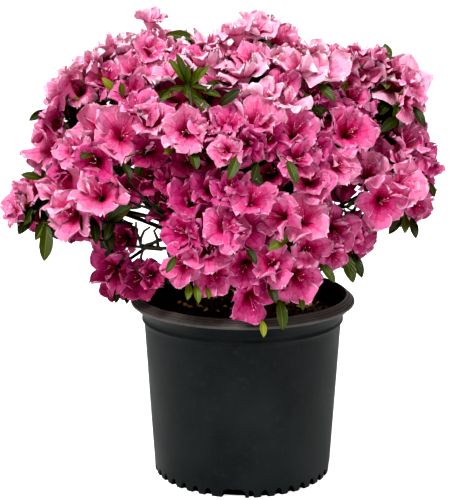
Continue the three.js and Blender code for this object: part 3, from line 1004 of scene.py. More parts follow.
# The leaves that show from the front: column and row of the root, column and row of the tip, and tone.
SHOWN_LEAVES = (
    (193, 98, 210, 112, 1), (219, 106, 237, 91, 0), (166, 34, 192, 38, 1), (167, 38, 180, 48, 0),
    (117, 97, 105, 79, 3), (122, 98, 121, 83, 2), (46, 110, 31, 119, 0), (43, 179, 24, 174, 1),
    (40, 196, 18, 202, 2), (36, 200, 20, 232, 0), (38, 205, 26, 222, 1), (45, 221, 36, 239, 1),
    (47, 223, 45, 258, 1), (92, 216, 97, 240, 0), (104, 219, 111, 249, 0), (114, 217, 106, 238, 0),
    (254, 40, 270, 44, 0), (262, 47, 274, 58, 0), (317, 84, 334, 98, 1), (347, 81, 338, 101, 2),
    (398, 99, 398, 129, 1), (391, 90, 372, 94, 1), (413, 106, 424, 123, 0), (393, 97, 380, 114, 0),
    (239, 153, 230, 177, 1), (287, 160, 297, 180, 1), (102, 146, 81, 157, 1), (69, 141, 57, 149, 1),
    (402, 217, 391, 231, 0), (405, 214, 405, 232, 1), (411, 217, 416, 236, 0), (399, 212, 383, 223, 1),
    (343, 250, 353, 281, 1), (351, 251, 362, 275, 0), (279, 298, 284, 326, 1), (268, 280, 276, 302, 0),
    (189, 282, 188, 298, 2), (195, 284, 199, 300, 2), (207, 288, 209, 298, 2), (300, 297, 303, 308, 1),
    (319, 262, 334, 279, 1), (117, 288, 116, 302, 0), (127, 289, 127, 302, 0), (176, 256, 168, 270, 1),
    (191, 147, 197, 168, 1), (204, 149, 223, 164, 0), (176, 149, 166, 152, 2), (429, 182, 434, 196, 0),
    (291, 236, 270, 248, 2), (331, 213, 316, 221, 2), (340, 238, 328, 245, 0), (43, 168, 46, 182, 0),
    (123, 163, 131, 176, 0), (258, 163, 253, 180, 0), (246, 246, 256, 262, 0), (305, 95, 303, 112, 0),
    (385, 44, 390, 58, 1), (262, 320, 264, 335, 3),
)

# The narrow leaves of the whorl that stands over the flowers, in the same way, and its stem.
WHORL_LEAVES = (
    (184, 86, 149, 104, 1), (185, 87, 162, 98, 2), (186, 84, 171, 60, 2), (187, 84, 179, 56, 1), (188, 84, 188, 66, 2),
    (190, 84, 199, 68, 2), (191, 85, 207, 67, 2), (193, 86, 220, 96, 1), (190, 86, 206, 88, 1), (187, 87, 172, 88, 1),
)
WHORL_STEM = ((192, 113), (191, 100), (189, 85))

# The bare twigs that show in the gaps: columns and rows from the thick end to the thin one.
SHOWN_TWIGS = (
    ((167, 248), (155, 248), (144, 247), (129, 246), (115, 243), (96, 239), (83, 236)),
    ((141, 247), (139, 238), (136, 231), (136, 222)), ((141, 245), (141, 238), (144, 231), (150, 227)),
    ((144, 248), (141, 256), (142, 266)), ((146, 245), (155, 242), (164, 240)),
    ((158, 247), (157, 238), (154, 231), (158, 227)), ((163, 216), (148, 208), (138, 205), (128, 201)),
    ((165, 212), (150, 204), (138, 192), (127, 178)), ((163, 222), (150, 217), (140, 216), (128, 213)),
    ((132, 224), (120, 218), (108, 212)), ((318, 213), (332, 209), (345, 203), (358, 196), (370, 189), (385, 180)),
    ((350, 206), (346, 200), (344, 194)), ((352, 214), (356, 206), (362, 198), (366, 192)),
)

# Where the photograph shows sky or soil between the flowers: column, row, half width and half height.
OPENINGS = (
    (146, 228, 20, 17), (152, 256, 10, 7), (62, 275, 34, 27), (72, 252, 14, 8), (340, 200, 14, 9), (354, 206, 9, 8),
    (395, 264, 32, 26), (372, 287, 16, 18), (198, 303, 40, 11), (168, 292, 16, 9), (327, 290, 22, 14),
    (92, 97, 5, 2), (228, 37, 6, 3), (294, 306, 22, 8), (194, 20, 15, 8), (438, 114, 10, 22), (19, 156, 8, 17),
    (424, 101, 5, 4),
)


def in_opening(x: float, y: float, margin: float) -> bool:
    """Whether a pixel lies in one of the openings, each grown by a margin."""
    return any(((x - cx) / (w + margin)) ** 2 + ((y - cy) / (h + margin)) ** 2 < 1 for cx, cy, w, h in OPENINGS)


class PotZone(Enum):
    """The parts of the pot that differ in finish: wall, lip, rim lines of painted highlight, and painted shade."""

    WALL = 0
    LIP = 1
    CREST = 2
    SHADE = 3


@dataclass
class NurseryPot:
    """The nursery pot: a tapering wall on a scalloped foot, a shoulder, and a grooved rim."""

    facets: int = 720
    flutes: int = 40
    flute_width: float = 8
    flute_height: float = 10
    flute_depth: float = 5
    foot_radius: float = 111.5
    step_height: float = 196
    step_radius: float = 123.4
    port_count: int = 4
    port_bearing: float = -6
    port_width: float = 28
    port_height: float = 11
    port_depth: float = 8.5
    fade: float = 1.4
    pressed_radius: float = 85
    # How deep a press is before its faces get painted shade.
    painted_shade_depth: float = 3
    port_clear: float = 1.35
    port_square: float = 5
    groove_depth: float = 1.1
    groove_count: int = 17
    groove_pitch: float = 5.4
    rim_radii: Pair = (139.0, 131.4)
    rim_height: float = 222.7
    rim_slope: float = 0.86
    # The grooves whose crests get a painted highlight line.
    highlighted_grooves: tuple[int, ...] = (7, 13)
    crease: float = 40

    def profile(self) -> tuple[Array, Array, int]:
        """Its section from the middle of the underside out, up, over the rim and down inside.

        Returns:
            The [radius, height] pairs, the zone of the band after each, and how many pairs the foot takes.
        """
        slope = (self.step_radius - self.foot_radius) / self.step_height
        foot = [(0.5, 0.0), (50, 0.0), (88, 0.0), (97, 0.0), (104, 0.0), (110.3, 0.0), (111.1, 0.5)]
        steps = (1.4, 2.6, 3.8, 5, 6, 6.8, 7.5, 8.2, 9, 9.7, 10.4, 11.2, 12.2, 14)
        low = [(self.foot_radius + z * slope, z) for z in steps]
        wall = [(self.foot_radius + z * slope, z) for z in np.linspace(22, 190, 15)]
        ridge = [(123.4, 194.6), (124.2, 195.6), (125.4, 196.3), (126.1, 197.4), (126.1, 198.6), (125.2, 199.8)]
        neck = [(124.8, 203), (125.2, 205), (126.0, 206.4), (128, 208.4), (132, 212.6), (136.2, 216.6)]
        edge = [(138.4, 218.3), (139.6, 219.2), (140, 220.5), (139.7, 221.8)]
        grooves = []
        for k, radius in enumerate(np.linspace(*self.rim_radii, self.groove_count)):
            height = self.rim_height + (self.rim_radii[0] - radius) * self.rim_slope
            sunk = self.groove_depth * max(0.0, math.sin(2 * math.pi * (k - 1) / self.groove_pitch)) ** 1.5
            grooves.append((radius - 0.4 * sunk, height - sunk))
        mouth = [(130.8, 229.6), (130.2, 229.9), (129.6, 229.7), (129.2, 228.9), (128.9, 227.6)]
        inside = [(126.5, 221), (124, 214), (121.8, 207.5), (121.2, 204), (121.0, 196), (112, 24), (80, 18), (0.5, 18)]
        # The rim's outer edge and two groove crests get painted highlight lines, a paler plastic.
        zones = [PotZone.WALL] * len(foot + low + wall + ridge + neck) + [PotZone.CREST] * (len(edge) - 1)
        zones += [PotZone.CREST if k in self.highlighted_grooves else PotZone.LIP for k in range(len(grooves) + 1)]
        # The inside below the mouth gets painted shade: near-black plastic for the dark in the pot.
        zones += [PotZone.LIP] * len(mouth) + [PotZone.SHADE] * (len(inside) - 1)
        pairs = foot + low + wall + ridge + neck + edge + grooves + mouth + inside
        return np.array(pairs), np.array([zone.value for zone in zones]), len(foot + low)

    def pressed(self, angles: Array, heights: Array) -> Array:
        """How deep the flutes and the drain ports are pressed into the foot.

        Args:
            angles: The bearings of the columns, from the front.
            heights: The heights of the rows.

        Returns:
            The depth of each point, by row and column.
        """
        pitch = 2 * math.pi / self.flutes
        off = (angles % pitch - pitch / 2) * self.foot_radius / (self.flute_width / 2)
        flute = self.flute_height * np.sqrt(np.clip(1 - off**2, 0, 1))
        quarter = 2 * math.pi / self.port_count
        turned = (angles - math.radians(self.port_bearing) + quarter / 2) % quarter - quarter / 2
        port_off = np.abs(turned) * self.foot_radius / (self.port_width / 2)
        port = self.port_height * np.clip(1 - port_off**self.port_square, 0, 1) ** 0.4
        deep = [np.clip((arch[None, :] - heights[:, None]) / self.fade, 0, 1) for arch in (flute, port)]
        clear = port_off[None, :] > self.port_clear
        return np.maximum(deep[0] * clear * self.flute_depth, deep[1] * self.port_depth)

    def shape(self) -> Shape:
        """The pot as one turned sheet, with the flutes and ports pressed into its foot.

        Returns:
            The pot.
        """
        profile, zones, foot_rows = self.profile()
        turns = bearings(self.facets)
        angles = turns - math.pi / 2
        radius = profile[:, :1]
        depth = self.pressed(turns, profile[:, 1])
        low = (np.arange(len(profile)) < foot_rows)[:, None] & (radius > self.pressed_radius)
        radius = np.where(low, radius * (1 - depth / self.foot_radius), radius)
        points = stacked(radius * np.cos(angles), radius * np.sin(angles), profile[:, 1:])
        # Faces pressed deep into the flutes and ports get painted shade: near-black plastic for their dark.
        hidden = (low & (depth > self.painted_shade_depth))[:-1]
        return grid(points, np.where(hidden, PotZone.SHADE.value, zones[:, None]), ring=True)

    def build(self, effects: Effects) -> None:
        """Makes the pot in place of its node.

        Args:
            effects: The shared node groups.
        """
        finishes = [
            Plastic("Pot plastic", 0.46, colour="121617", worn="2b3030", dust="474638", dustiness=0.3),
            Plastic("Rim plastic", 0.5, colour="47423f", worn="625b58", dust="756d67", dustiness=0.3, gloss=0.25),
            # Painted highlight: a paler plastic for the light lines on the rim's edge and groove crests.
            Plastic("Rim painted highlight", 0.5, colour="4f4a48", worn="736d69", dust="897f76", dustiness=0.4, gloss=0.3),
            # Painted shade: near-black plastic for the pot's inside and its deep flutes and ports.
            Plastic("Painted shade plastic", 0.6, colour="060708", worn="0d0e0f", dust="1a1815", dustiness=0.2, gloss=0.1),
        ]
        materials = [finish.make(effects) for finish in finishes]
        pot = Pile(self.shape()).to_object("nursery_pot", materials, crease=self.crease)
        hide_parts("pot")


class MixZone(Enum):
    """The kinds of lump that lie on the mix."""

    CRUMB = 0
    TAN = 1
    BROWN = 2


@dataclass(frozen=True)
class Litter:
    """Lumps to be strewn: how many, their least and greatest half sizes, their kinds and how deep they sink."""

    count: int
    low: Triple
    high: Triple
    zones: tuple[MixZone, ...]
    sink: float


@dataclass
class MixBed:
    """The potting mix: a rough, damp mound with crumbs and chips of bark on it."""

    WAVES = ((2.6, 0.045, 3.1), (1.7, 0.16, 7.7), (0.8, 0.4, 1.3))  # height, how many in a millimetre, and start
    CALM_REACH = 12  # the mix lies flat this far round the stem
    CALM_FADE = 20
    SKIRT = 12
    EDGE = 6
    LUMP_RINGS = ((-0.55, 0.72), (0.15, 1.0), (0.75, 0.6))  # height and girth, in shares of the half sizes
    LUMP_SIDES = 6
    UNDERSIDE = 0.8
    TILT = 0.4
    CHIP_TILT = (0.1, -0.25, 1.0)
    CHIP_THICKNESS = 2.0
    CHIP_LIFT = 1.2
    CREASE = 35

    radius: float = 121.6
    fill: float = 203
    mound: float = 7
    rings: int = 64
    spokes: int = 220
    seed: int = 4711
    litter: tuple[Litter, ...] = (
        Litter(900, (1.2, 1.0, 0.8), (4.4, 3.4, 2.6), (MixZone.CRUMB,), 0.35),
        Litter(170, (3.0, 1.8, 0.7), (8.0, 4.0, 1.8), (*[MixZone.BROWN] * 5, MixZone.TAN), 0.25),
    )
    shown_chips: tuple[tuple[float, float, float, float, float], ...] = (
        (-66, 3, 6, 3.6, 60), (-53, 0, 8, 3.4, 25), (-80, 23, 4.5, 2.8, 110), (-72, 12, 5, 3, 20),
        (-31, -25, 4, 2.6, 0), (-12, -14, 4.5, 3, 80), (-45, -12, 4, 2.4, 150), (79, 0, 3.6, 2.4, 40),
        (96, 30, 3.4, 2.2, 120), (20, -30, 3.6, 2.2, 20), (-58, 16, 4, 2.6, 70), (-22, -4, 3.4, 2.2, 130),
    )

    def height_at(self, x: float, y: float) -> float:
        """The surface's height at a place.

        Args:
            x: Across, in millimetres.
            y: Along, in millimetres.

        Returns:
            The height in millimetres.
        """
        share = min(math.hypot(x, y) / self.radius, 1)
        waves = [tall * noise.noise(Vector((x * often, y * often, start))) for tall, often, start in self.WAVES]
        from_stem = math.hypot(x - Growth.STEM_FOOT[0], y - Growth.STEM_FOOT[1])
        calm = min(1.0, max(0.0, (from_stem - self.CALM_REACH) / self.CALM_FADE))
        return self.fill + self.mound * (1 - share**2) + sum(waves) * calm

    def bed(self) -> Shape:
        """The bed's surface, turned down at its edge into the pot.

        Returns:
            The bed.
        """
        reach = self.radius * np.sqrt(np.linspace(0.0004, 1, self.rings))[:, None]
        angles = bearings(self.spokes)
        points = stacked(reach * np.cos(angles), reach * np.sin(angles), 0.0)
        for point in points.reshape(-1, 3):
            point[2] = self.height_at(point[0], point[1])
        skirt = points[-1:].copy()
        skirt[..., 2] = self.fill - self.SKIRT
        return grid(np.concatenate([points, skirt]), 0, ring=True)

    def lump(self, draws: Draws, size: Triple, zone: MixZone) -> Shape:
        """An uneven lump: three rings of points moved in and out, between a tip above and one below.

        Args:
            draws: The draws.
            size: Its half length, half width and half thickness.
            zone: Its kind.

        Returns:
            The lump, at the origin.
        """
        count = self.LUMP_SIDES
        rings = []
        for level, girth in self.LUMP_RINGS:
            angles = bearings(count) + draws.around(0.3)
            far = girth * np.array([draws.between(0.75, 1.15) for _ in angles])
            rings.append(stacked(far * np.cos(angles), far * np.sin(angles), level) * size)
        wall = grid(np.array(rings), zone.value, ring=True)
        top = len(wall.points)
        last = top - count
        caps = [(last + k, last + (k + 1) % count, top, TRIANGLE) for k in range(count)]
        caps += [((k + 1) % count, k, top + 1, TRIANGLE) for k in range(count)]
        points = np.vstack([wall.points, [[0, 0, size[2]], [0, 0, -size[2] * self.UNDERSIDE]]])
        return solid(points, np.vstack([wall.faces, caps]), zone.value)

    def scatter(self, litter: Litter, draws: Draws) -> list[Shape]:
        """Lumps strewn over the bed.

        Args:
            litter: What is strewn.
            draws: The draws.

        Returns:
            The lumps in place.
        """
        lumps = []
        for _ in range(litter.count):
            reach = (self.radius - self.EDGE) * math.sqrt(draws.next())
            angle = draws.turn()
            x, y = reach * math.cos(angle), reach * math.sin(angle)
            share = draws.next()
            size = tuple(a + (b - a) * share * draws.between(0.7, 1.0) for a, b in zip(litter.low, litter.high))
            zone = litter.zones[int(draws.next() * len(litter.zones))]
            tilt = unit(np.array([draws.around(self.TILT), draws.around(self.TILT), 1.0]))
            turn = facing_frame(tilt, draws.turn())
            place = np.array([x, y, self.height_at(x, y) + size[2] * (1 - 2 * litter.sink)])
            lumps.append(self.lump(draws, size, zone).placed(turn, 1, place))
        return lumps

    def laid_chips(self, draws: Draws) -> list[Shape]:
        """The pale chips that show, each where it lies.

        Args:
            draws: The draws.

        Returns:
            The chips.
        """
        chips = []
        for x, y, long, wide, turn in self.shown_chips:
            place = np.array([x, y, self.height_at(x, y) + self.CHIP_LIFT])
            laid = facing_frame(unit(np.array(self.CHIP_TILT)), math.radians(turn))
            chips.append(self.lump(draws, (long, wide, self.CHIP_THICKNESS), MixZone.TAN).placed(laid, 1, place))
        return chips

    def build(self, effects: Effects) -> None:
        """Makes the bed and what lies on it in place of its node.

        Args:
            effects: The shared node groups.
        """
        draws = Draws(self.seed)
        soil = Earth("Damp potting mix", 0.88, dark="30261d", light="6b5741", depth=0.9).make(effects)
        crumb = Earth("Peat crumbs", 0.88, dark="32261c", light="785f47").make(effects)
        tan = Earth("Golden bark chips", 0.7, dark="bd9250", light="ffe0a4", scale=90, depth=0.3).make(effects)
        brown = Earth("Brown bark chips", 0.8, dark="28180e", light="6b4a2c", scale=90, depth=0.3).make(effects)
        bed = Pile(self.bed()).to_object("mix_bed", [soil])
        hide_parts("potting_mix")
        strewn = [lump for kind in self.litter for lump in self.scatter(kind, draws)]
        pile = Pile(*strewn, *self.laid_chips(draws))
        litter = pile.to_object("bark_chips", [crumb, tan, brown], crease=self.CREASE)


@dataclass
class Framework:
    """The main stem and the boughs, with the relief of their bark."""

    ROUND_PATTERN = 2.2  # how often the ridges change on the way round, and along, in each millimetre
    RIDGE_PATTERN = 0.05
    KNOT_PATTERN = 0.14
    RIDGE_SHARE = 1.6
    STEM_SEED = 0.5
    SEED_SHARE = 0.37

    growth: Growth
    step: float = 3.0
    sides: int = 18
    ridge: float = 0.09

    def barked(self, limb: Limb, seed: float) -> Shape:
        """A limb with ridges, knots and a little unevenness.

        Args:
            limb: The limb.
            seed: Where its pattern starts.

        Returns:
            The limb as a shape.
        """
        steps = max(8, int(limb.curve.length / self.step))
        shares = np.linspace(0, 1, steps + 1)
        path = limb.curve.at(shares)
        radii = np.array([limb.radius_at(share) for share in shares])
        shape = tube(path, radii, self.sides)
        middles = np.repeat(path, self.sides, axis=0)
        walls = shape.points[: len(middles)]
        for k, (point, middle) in enumerate(zip(walls, middles)):
            share = shares[k // self.sides]
            angle = 2 * math.pi * (k % self.sides) / self.sides
            along = share * limb.curve.length
            spot = np.array([math.cos(angle), math.sin(angle)])
            ridges = noise.noise(Vector((*spot * self.ROUND_PATTERN, along * self.RIDGE_PATTERN + seed)))
            knots = noise.noise(Vector((*spot, along * self.KNOT_PATTERN + seed * 3)))
            walls[k] = middle + (point - middle) * (1 + self.ridge * (ridges * self.RIDGE_SHARE + knots))
        return shape

    def build(self, bark: Material) -> None:
        """Makes the stem and the boughs in place of their nodes, joined by region.

        Args:
            bark: The bark.
        """
        piece = Pile(self.barked(self.growth.limbs["stem"], self.STEM_SEED)).to_object("stem_bark", [bark])
        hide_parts("main_stem")
        for region in Region:
            own = [spray for spray in SPRAYS if spray.region is region]
            seeds = [spray.reach * self.SEED_SHARE + spray.height for spray in own]
            boughs = [self.barked(self.growth.limbs[spray.name], seed) for spray, seed in zip(own, seeds)]
            piece = Pile(*boughs).to_object(f"boughs_{region.value}", [bark])
            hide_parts(*(f"bough_{spray.name}" for spray in own))


@dataclass
class Flower:
    """One form of the flower: a funnel of five crimped lobes, with small inner petals and stamens.

    Lengths are shares of the flower's radius.
    """

    VEIN = (0.1, 0.2, 0.8)  # how far across it goes, and where along the lobe it starts and ends
    # The pale edge is partly the petal's own pale rim, partly a painted highlight.
    EDGE = (0.93, 0.55)  # how far across the pale edge starts, and from where along the lobe
    BOW = (0.13, 0.08)  # how much sooner the zones change at the sides, and later in the middle
    BOWED = 0.9
    # The lifts, strays, cup and skew are ranges of a draw. Of the other pairs, the first is a height and the second a
    # width, for a rib or notch, or a number of waves, for a ruffle, ripple, nick or sway.
    TIP_LIFT = (-0.3, 0.2)
    WIDTH_STRAY = (0.92, 1.12)
    SMALL_WIDTH = 0.85
    FREE_FROM = 0.36  # where along it a lobe starts to leave the tube, and how far on it has left
    FREE_OVER = 0.4
    FAN = (2.2, 0.3)  # how the waves turn round the tip
    RUFFLES = ((1, 4.5), (0.5, 9))
    SIDE_RUFFLES = (0.8, 10)
    RUFFLE_STRAY = (0.8, 1.6)
    SMALL_RUFFLE = 1.15
    CUP = (-0.26, 0.16)
    SKEW = (0.02, 0.2)
    RIB = (0.05, 0.18)
    RIPPLE = (0.014, 14)
    NOTCH = (0.06, 0.2)
    POINTED = 0.13
    NICKS = (0.024, 9)
    SWAY = (0.05, 21)
    AXIS = 0.04
    SKIN_SIDES = 12
    SKIN_GAP = (1.04, 0.02, 0.015)  # how much wider, further out and lower than the lobes it lies
    STAMENS = 5
    STAMEN = ((0, 0, -0.55), (0.03, 0, -0.12), (0.14, 0.03, 0.24))
    STAMEN_LENGTHS = (0.55, 0.85)
    STAMEN_LEAN = (0.05, 0.2)
    FILAMENT = (0.014, 0.012, 0.01)
    STIGMA_SIZE = 0.026
    ANTHER_SIZE = 0.016
    HEAD = ((1, 0, 0), (0, 1, 0), (-1, 0, 0), (0, -1, 0), (0, 0, 1.4), (0, 0, -1))
    HEAD_FACES = [(a, (a + 1) % 4, 4, TRIANGLE) for a in range(4)] + [((a + 1) % 4, a, 5, TRIANGLE) for a in range(4)]
    FRECKLES = 14
    FRECKLE_SIZES = (0.012, 0.02)
    FRECKLE_LIFT = 0.014
    CALYX = ((0, 0, -0.68), (0, 0, -0.78), (0, 0, -0.99))
    CALYX_RADII = (0.1, 0.085, 0.035)

    seed: int
    openness: float = 1.0
    doubling: int = 4
    lobes: int = 5
    rows: Row = (0, 0.12, 0.24, 0.35, 0.45, 0.55, 0.65, 0.74, 0.82, 0.89, 0.95, 1.0)
    columns: Row = (-1, -0.92, -0.76, -0.57, -0.38, -0.21, -0.07, 0.07, 0.21, 0.38, 0.57, 0.76, 0.92, 1)
    small_rows: Row = (0, 0.22, 0.4, 0.55, 0.68, 0.8, 0.91, 1.0)
    small_columns: Row = (-1, -0.85, -0.55, -0.2, 0.2, 0.55, 0.85, 1)
    widths: tuple[Pair, ...] = (
        (0, 0.045), (0.25, 0.14), (0.4, 0.24), (0.55, 0.36), (0.7, 0.45), (0.82, 0.475), (0.92, 0.4), (1, 0.2),
    )
    zone_ends: Row = (0.17, 0.26, 0.36, 0.48, 0.7, 0.945)
    crimp: float = 0.078
    crumple: float = 0.007
    skin_rows: Row = (0, 0.12, 0.24, 0.35, 0.44)

    def zone_of(self, u: Array, v: Array) -> Array:
        """The zone of each face of a lobe, from the middle of the face.

        Args:
            u: How far along the lobe.
            v: How far across it, from -1 to 1.

        Returns:
            The zones.
        """
        far = np.abs(v)
        bow = self.BOW[0] * far - self.BOW[1]
        inner = np.searchsorted(self.zone_ends, np.clip(u + bow * (u < self.BOWED), 0, 1))
        veined = (far < self.VEIN[0]) & (u > self.VEIN[1]) & (u < self.VEIN[2])
        # The pale margin along the sides is partly the petal's own rim, partly a painted highlight.
        side = (far > self.EDGE[0]) & (u > self.EDGE[1])
        return np.where(side, Zone.MARGIN.value, np.maximum(inner - veined, 0))

    @staticmethod
    def midline(u: Array, length: float, steep: float, tip: float) -> tuple[Array, Array]:
        """The middle line of a lobe, from the foot of the tube to its tip.

        Args:
            u: How far along it.
            length: Its reach.
            steep: How upright it stands.
            tip: How far its tip lifts.

        Returns:
            The distance from the flower's axis and the height.
        """
        handles = (  # the foot, the throat, the mouth and the tip
            (0.06, -0.72),
            (0.19, -0.3),
            (0.52 - 0.22 * steep, -0.12 + 0.3 * steep),
            (1 - 0.5 * steep, 0.06 + tip + 0.55 * steep),
        )
        weights = ((1 - u) ** 3, 3 * u * (1 - u) ** 2, 3 * u**2 * (1 - u), u**3)
        radius = sum(w * h[0] for w, h in zip(weights, handles)) * length
        height = sum(w * h[1] for w, h in zip(weights, handles)) * (0.4 + 0.6 * length)
        return radius, height

    def skin(self) -> Shape:
        """The pale outside of the tube, just round the lobes' joined feet.

        Returns:
            The skin.
        """
        u = np.array(self.skin_rows)
        radius, height = self.midline(u, 1.0, max(0.0, 1 - self.openness), 0.0)
        angles = bearings(self.SKIN_SIDES)
        wider, out, lower = self.SKIN_GAP
        wide = radius[:, None] * wider + out
        points = stacked(wide * np.cos(angles), wide * np.sin(angles), height[:, None] - lower)
        return grid(points, Zone.BLADE.value, ring=True)

    def lobe(self, draws: Draws, angle: float, length: float, steep: float, small: bool) -> Shape:
        """One lobe of the funnel, or one of the small petals inside.

        Args:
            draws: The draws.
            angle: Its bearing round the flower.
            length: Its reach.
            steep: How upright it stands, from 0 for wide open to 1.
            small: Whether it is one of the small ones.

        Returns:
            The lobe.
        """
        u = np.array(self.small_rows if small else self.rows)[:, None]
        v = np.array(self.small_columns if small else self.columns)[None, :]
        radius, height = self.midline(u, length, steep, draws.between(*self.TIP_LIFT))
        spans = np.array(self.widths)
        width = np.interp(u, spans[:, 0], spans[:, 1]) * length * draws.between(*self.WIDTH_STRAY)
        width = width * (self.SMALL_WIDTH if small else 1)
        free = np.clip((u - self.FREE_FROM) / self.FREE_OVER, 0, 1)
        free = free * free * (3 - 2 * free)
        phases = [draws.turn() for _ in range(5)]
        about = np.arctan2(v, (1 - u) * self.FAN[0] + self.FAN[1])
        rim = np.clip(np.maximum(np.abs(v), (u - 0.5) / 0.5), 0, 1) ** 2 * free
        wave = sum(tall * np.sin(often * about + phase) for (tall, often), phase in zip(self.RUFFLES, phases))
        share, often = self.SIDE_RUFFLES
        edge = np.sin(u * often + phases[2] * np.sign(v)) * np.abs(v) ** 3
        crimp = self.crimp * draws.between(*self.RUFFLE_STRAY) * (self.SMALL_RUFFLE if small else 1)
        out = rim * (crimp * wave + share * crimp * edge)
        out = out + draws.between(*self.CUP) * v**2 * free * length + draws.between(*self.SKEW) * v * free
        tall, often = self.RIPPLE
        out = out - bell(v, *self.RIB) * free + tall * np.cos(v * often + phases[3]) * free
        rough = np.array([[draws.around(self.crumple) for _ in range(v.size)] for _ in range(u.size)])
        out = out + rough * free
        slope = np.stack([np.gradient(radius[:, 0], u[:, 0]), np.gradient(height[:, 0], u[:, 0])], axis=-1)
        slope /= np.linalg.norm(slope, axis=1, keepdims=True)
        notch = bell(v, *self.NOTCH) * draws.next()
        deep, often = self.NICKS
        short = (self.POINTED * v**2 + notch + deep * np.sin(about * often + phases[4])) * free**2 * length
        reach = radius - out * slope[:, 1:] - short * slope[:, :1]
        rise = height + out * slope[:, :1] - short * slope[:, 1:]
        wide, often = self.SWAY
        side = width * v * (1 + wide * np.sin(u * often + phases[4]) * free)
        wrap = side / np.maximum(radius, self.AXIS)
        x = (1 - free) * radius * np.cos(wrap) + free * reach
        y = (1 - free) * radius * np.sin(wrap) + free * side
        z = (1 - free) * height + free * rise
        cos, sin = math.cos(angle), math.sin(angle)
        zones = self.zone_of((u[:-1] + u[1:]) / 2, (v[:, :-1] + v[:, 1:]) / 2)
        return grid(stacked(x * cos - y * sin, x * sin + y * cos, z), zones, stacked(u, v))

    def stamens(self, draws: Draws) -> list[Shape]:
        """The stamens and the longer pistil, which curve up out of the throat.

        Args:
            draws: The draws.

        Returns:
            Their shapes.
        """
        parts = []
        for k in range(self.STAMENS):
            long, size = (draws.between(*self.STAMEN_LENGTHS), self.ANTHER_SIZE) if k else (1.0, self.STIGMA_SIZE)
            turn = draws.turn()
            lean = np.array([math.cos(turn), math.sin(turn), 0.0]) * draws.between(*self.STAMEN_LEAN)
            path = np.array(self.STAMEN) * long + np.outer([0, 0.4, 1.0], lean)
            parts.append(tube(path, np.array(self.FILAMENT), 3, Trim.FILAMENT.zone))
            parts.append(solid(path[-1] + size * np.array(self.HEAD), self.HEAD_FACES, Trim.ANTHER.zone))
        return parts

    def freckles(self, lobe: Shape, draws: Draws) -> Shape:
        """Small dark marks on the upper lobe, just over its surface.

        Args:
            lobe: The upper lobe.
            draws: The draws.

        Returns:
            The marks.
        """
        columns = len(self.columns)
        points = []
        for _ in range(self.FRECKLES):
            row = 3 + int(draws.next() * 5)
            column = 3 + int(draws.next() * 7)
            corner = row * columns + column
            base, right, up = (lobe.points[corner + step] for step in (0, 1, columns))
            middle = base + (right - base) * draws.next() + (up - base) * draws.next()
            across, along = unit(right - base), unit(up - base)
            over = np.cross(along, across)
            over = over if over[2] > 0 else -over
            size = draws.between(*self.FRECKLE_SIZES)
            for a, b in ((-1, 0), (0, -1.4), (1, 0), (0, 1.4)):
                points.append(middle + over * self.FRECKLE_LIFT + (across * a + along * b) * size)
        return solid(points, np.arange(len(points)).reshape(-1, 4), Trim.FRECKLE.zone)

    def shape(self) -> Shape:
        """The whole flower, facing +Z, with the petals of the first tint.

        Returns:
            The flower.
        """
        draws = Draws(self.seed)
        parts = []
        step = 2 * math.pi / self.lobes
        for k in range(self.lobes):
            angle = k * step + draws.around(0.12)
            steep = max(0.0, 1.0 - self.openness + draws.around(0.22))
            parts.append(self.lobe(draws, angle, draws.between(0.9, 1.06), steep, small=False))
        marks = self.freckles(parts[0], draws)
        for k in range(self.doubling):
            angle = k * GOLDEN_ANGLE + draws.around(0.3)
            parts.append(self.lobe(draws, angle, draws.between(0.6, 0.94), draws.between(0.25, 0.75), small=True))
        parts.append(self.skin())
        parts.append(marks)
        parts.extend(self.stamens(draws))
        parts.append(tube(np.array(self.CALYX), np.array(self.CALYX_RADII), 5, Trim.SEPAL.zone))
        return joined(parts)


@dataclass
class Bloom:
    """A flower in place."""

    point: Array
    facing: Array
    roll: float
    radius: float
    tint: Tint
    truss: int
    plain: bool = False


@dataclass
class Truss:
    """The end of a twig, where flowers' stalks and a whorl of leaves start."""

    spray: Spray
    node: Array
    facing: Array


@dataclass
class Leaf:
    """A leaf in place: its root, its way, its upper side and its length."""

    truss: int
    root: Array
    way: Array
    over: Array
    length: float
    tone: Tone
    stalked: bool = False
    breadth: float = 1.0


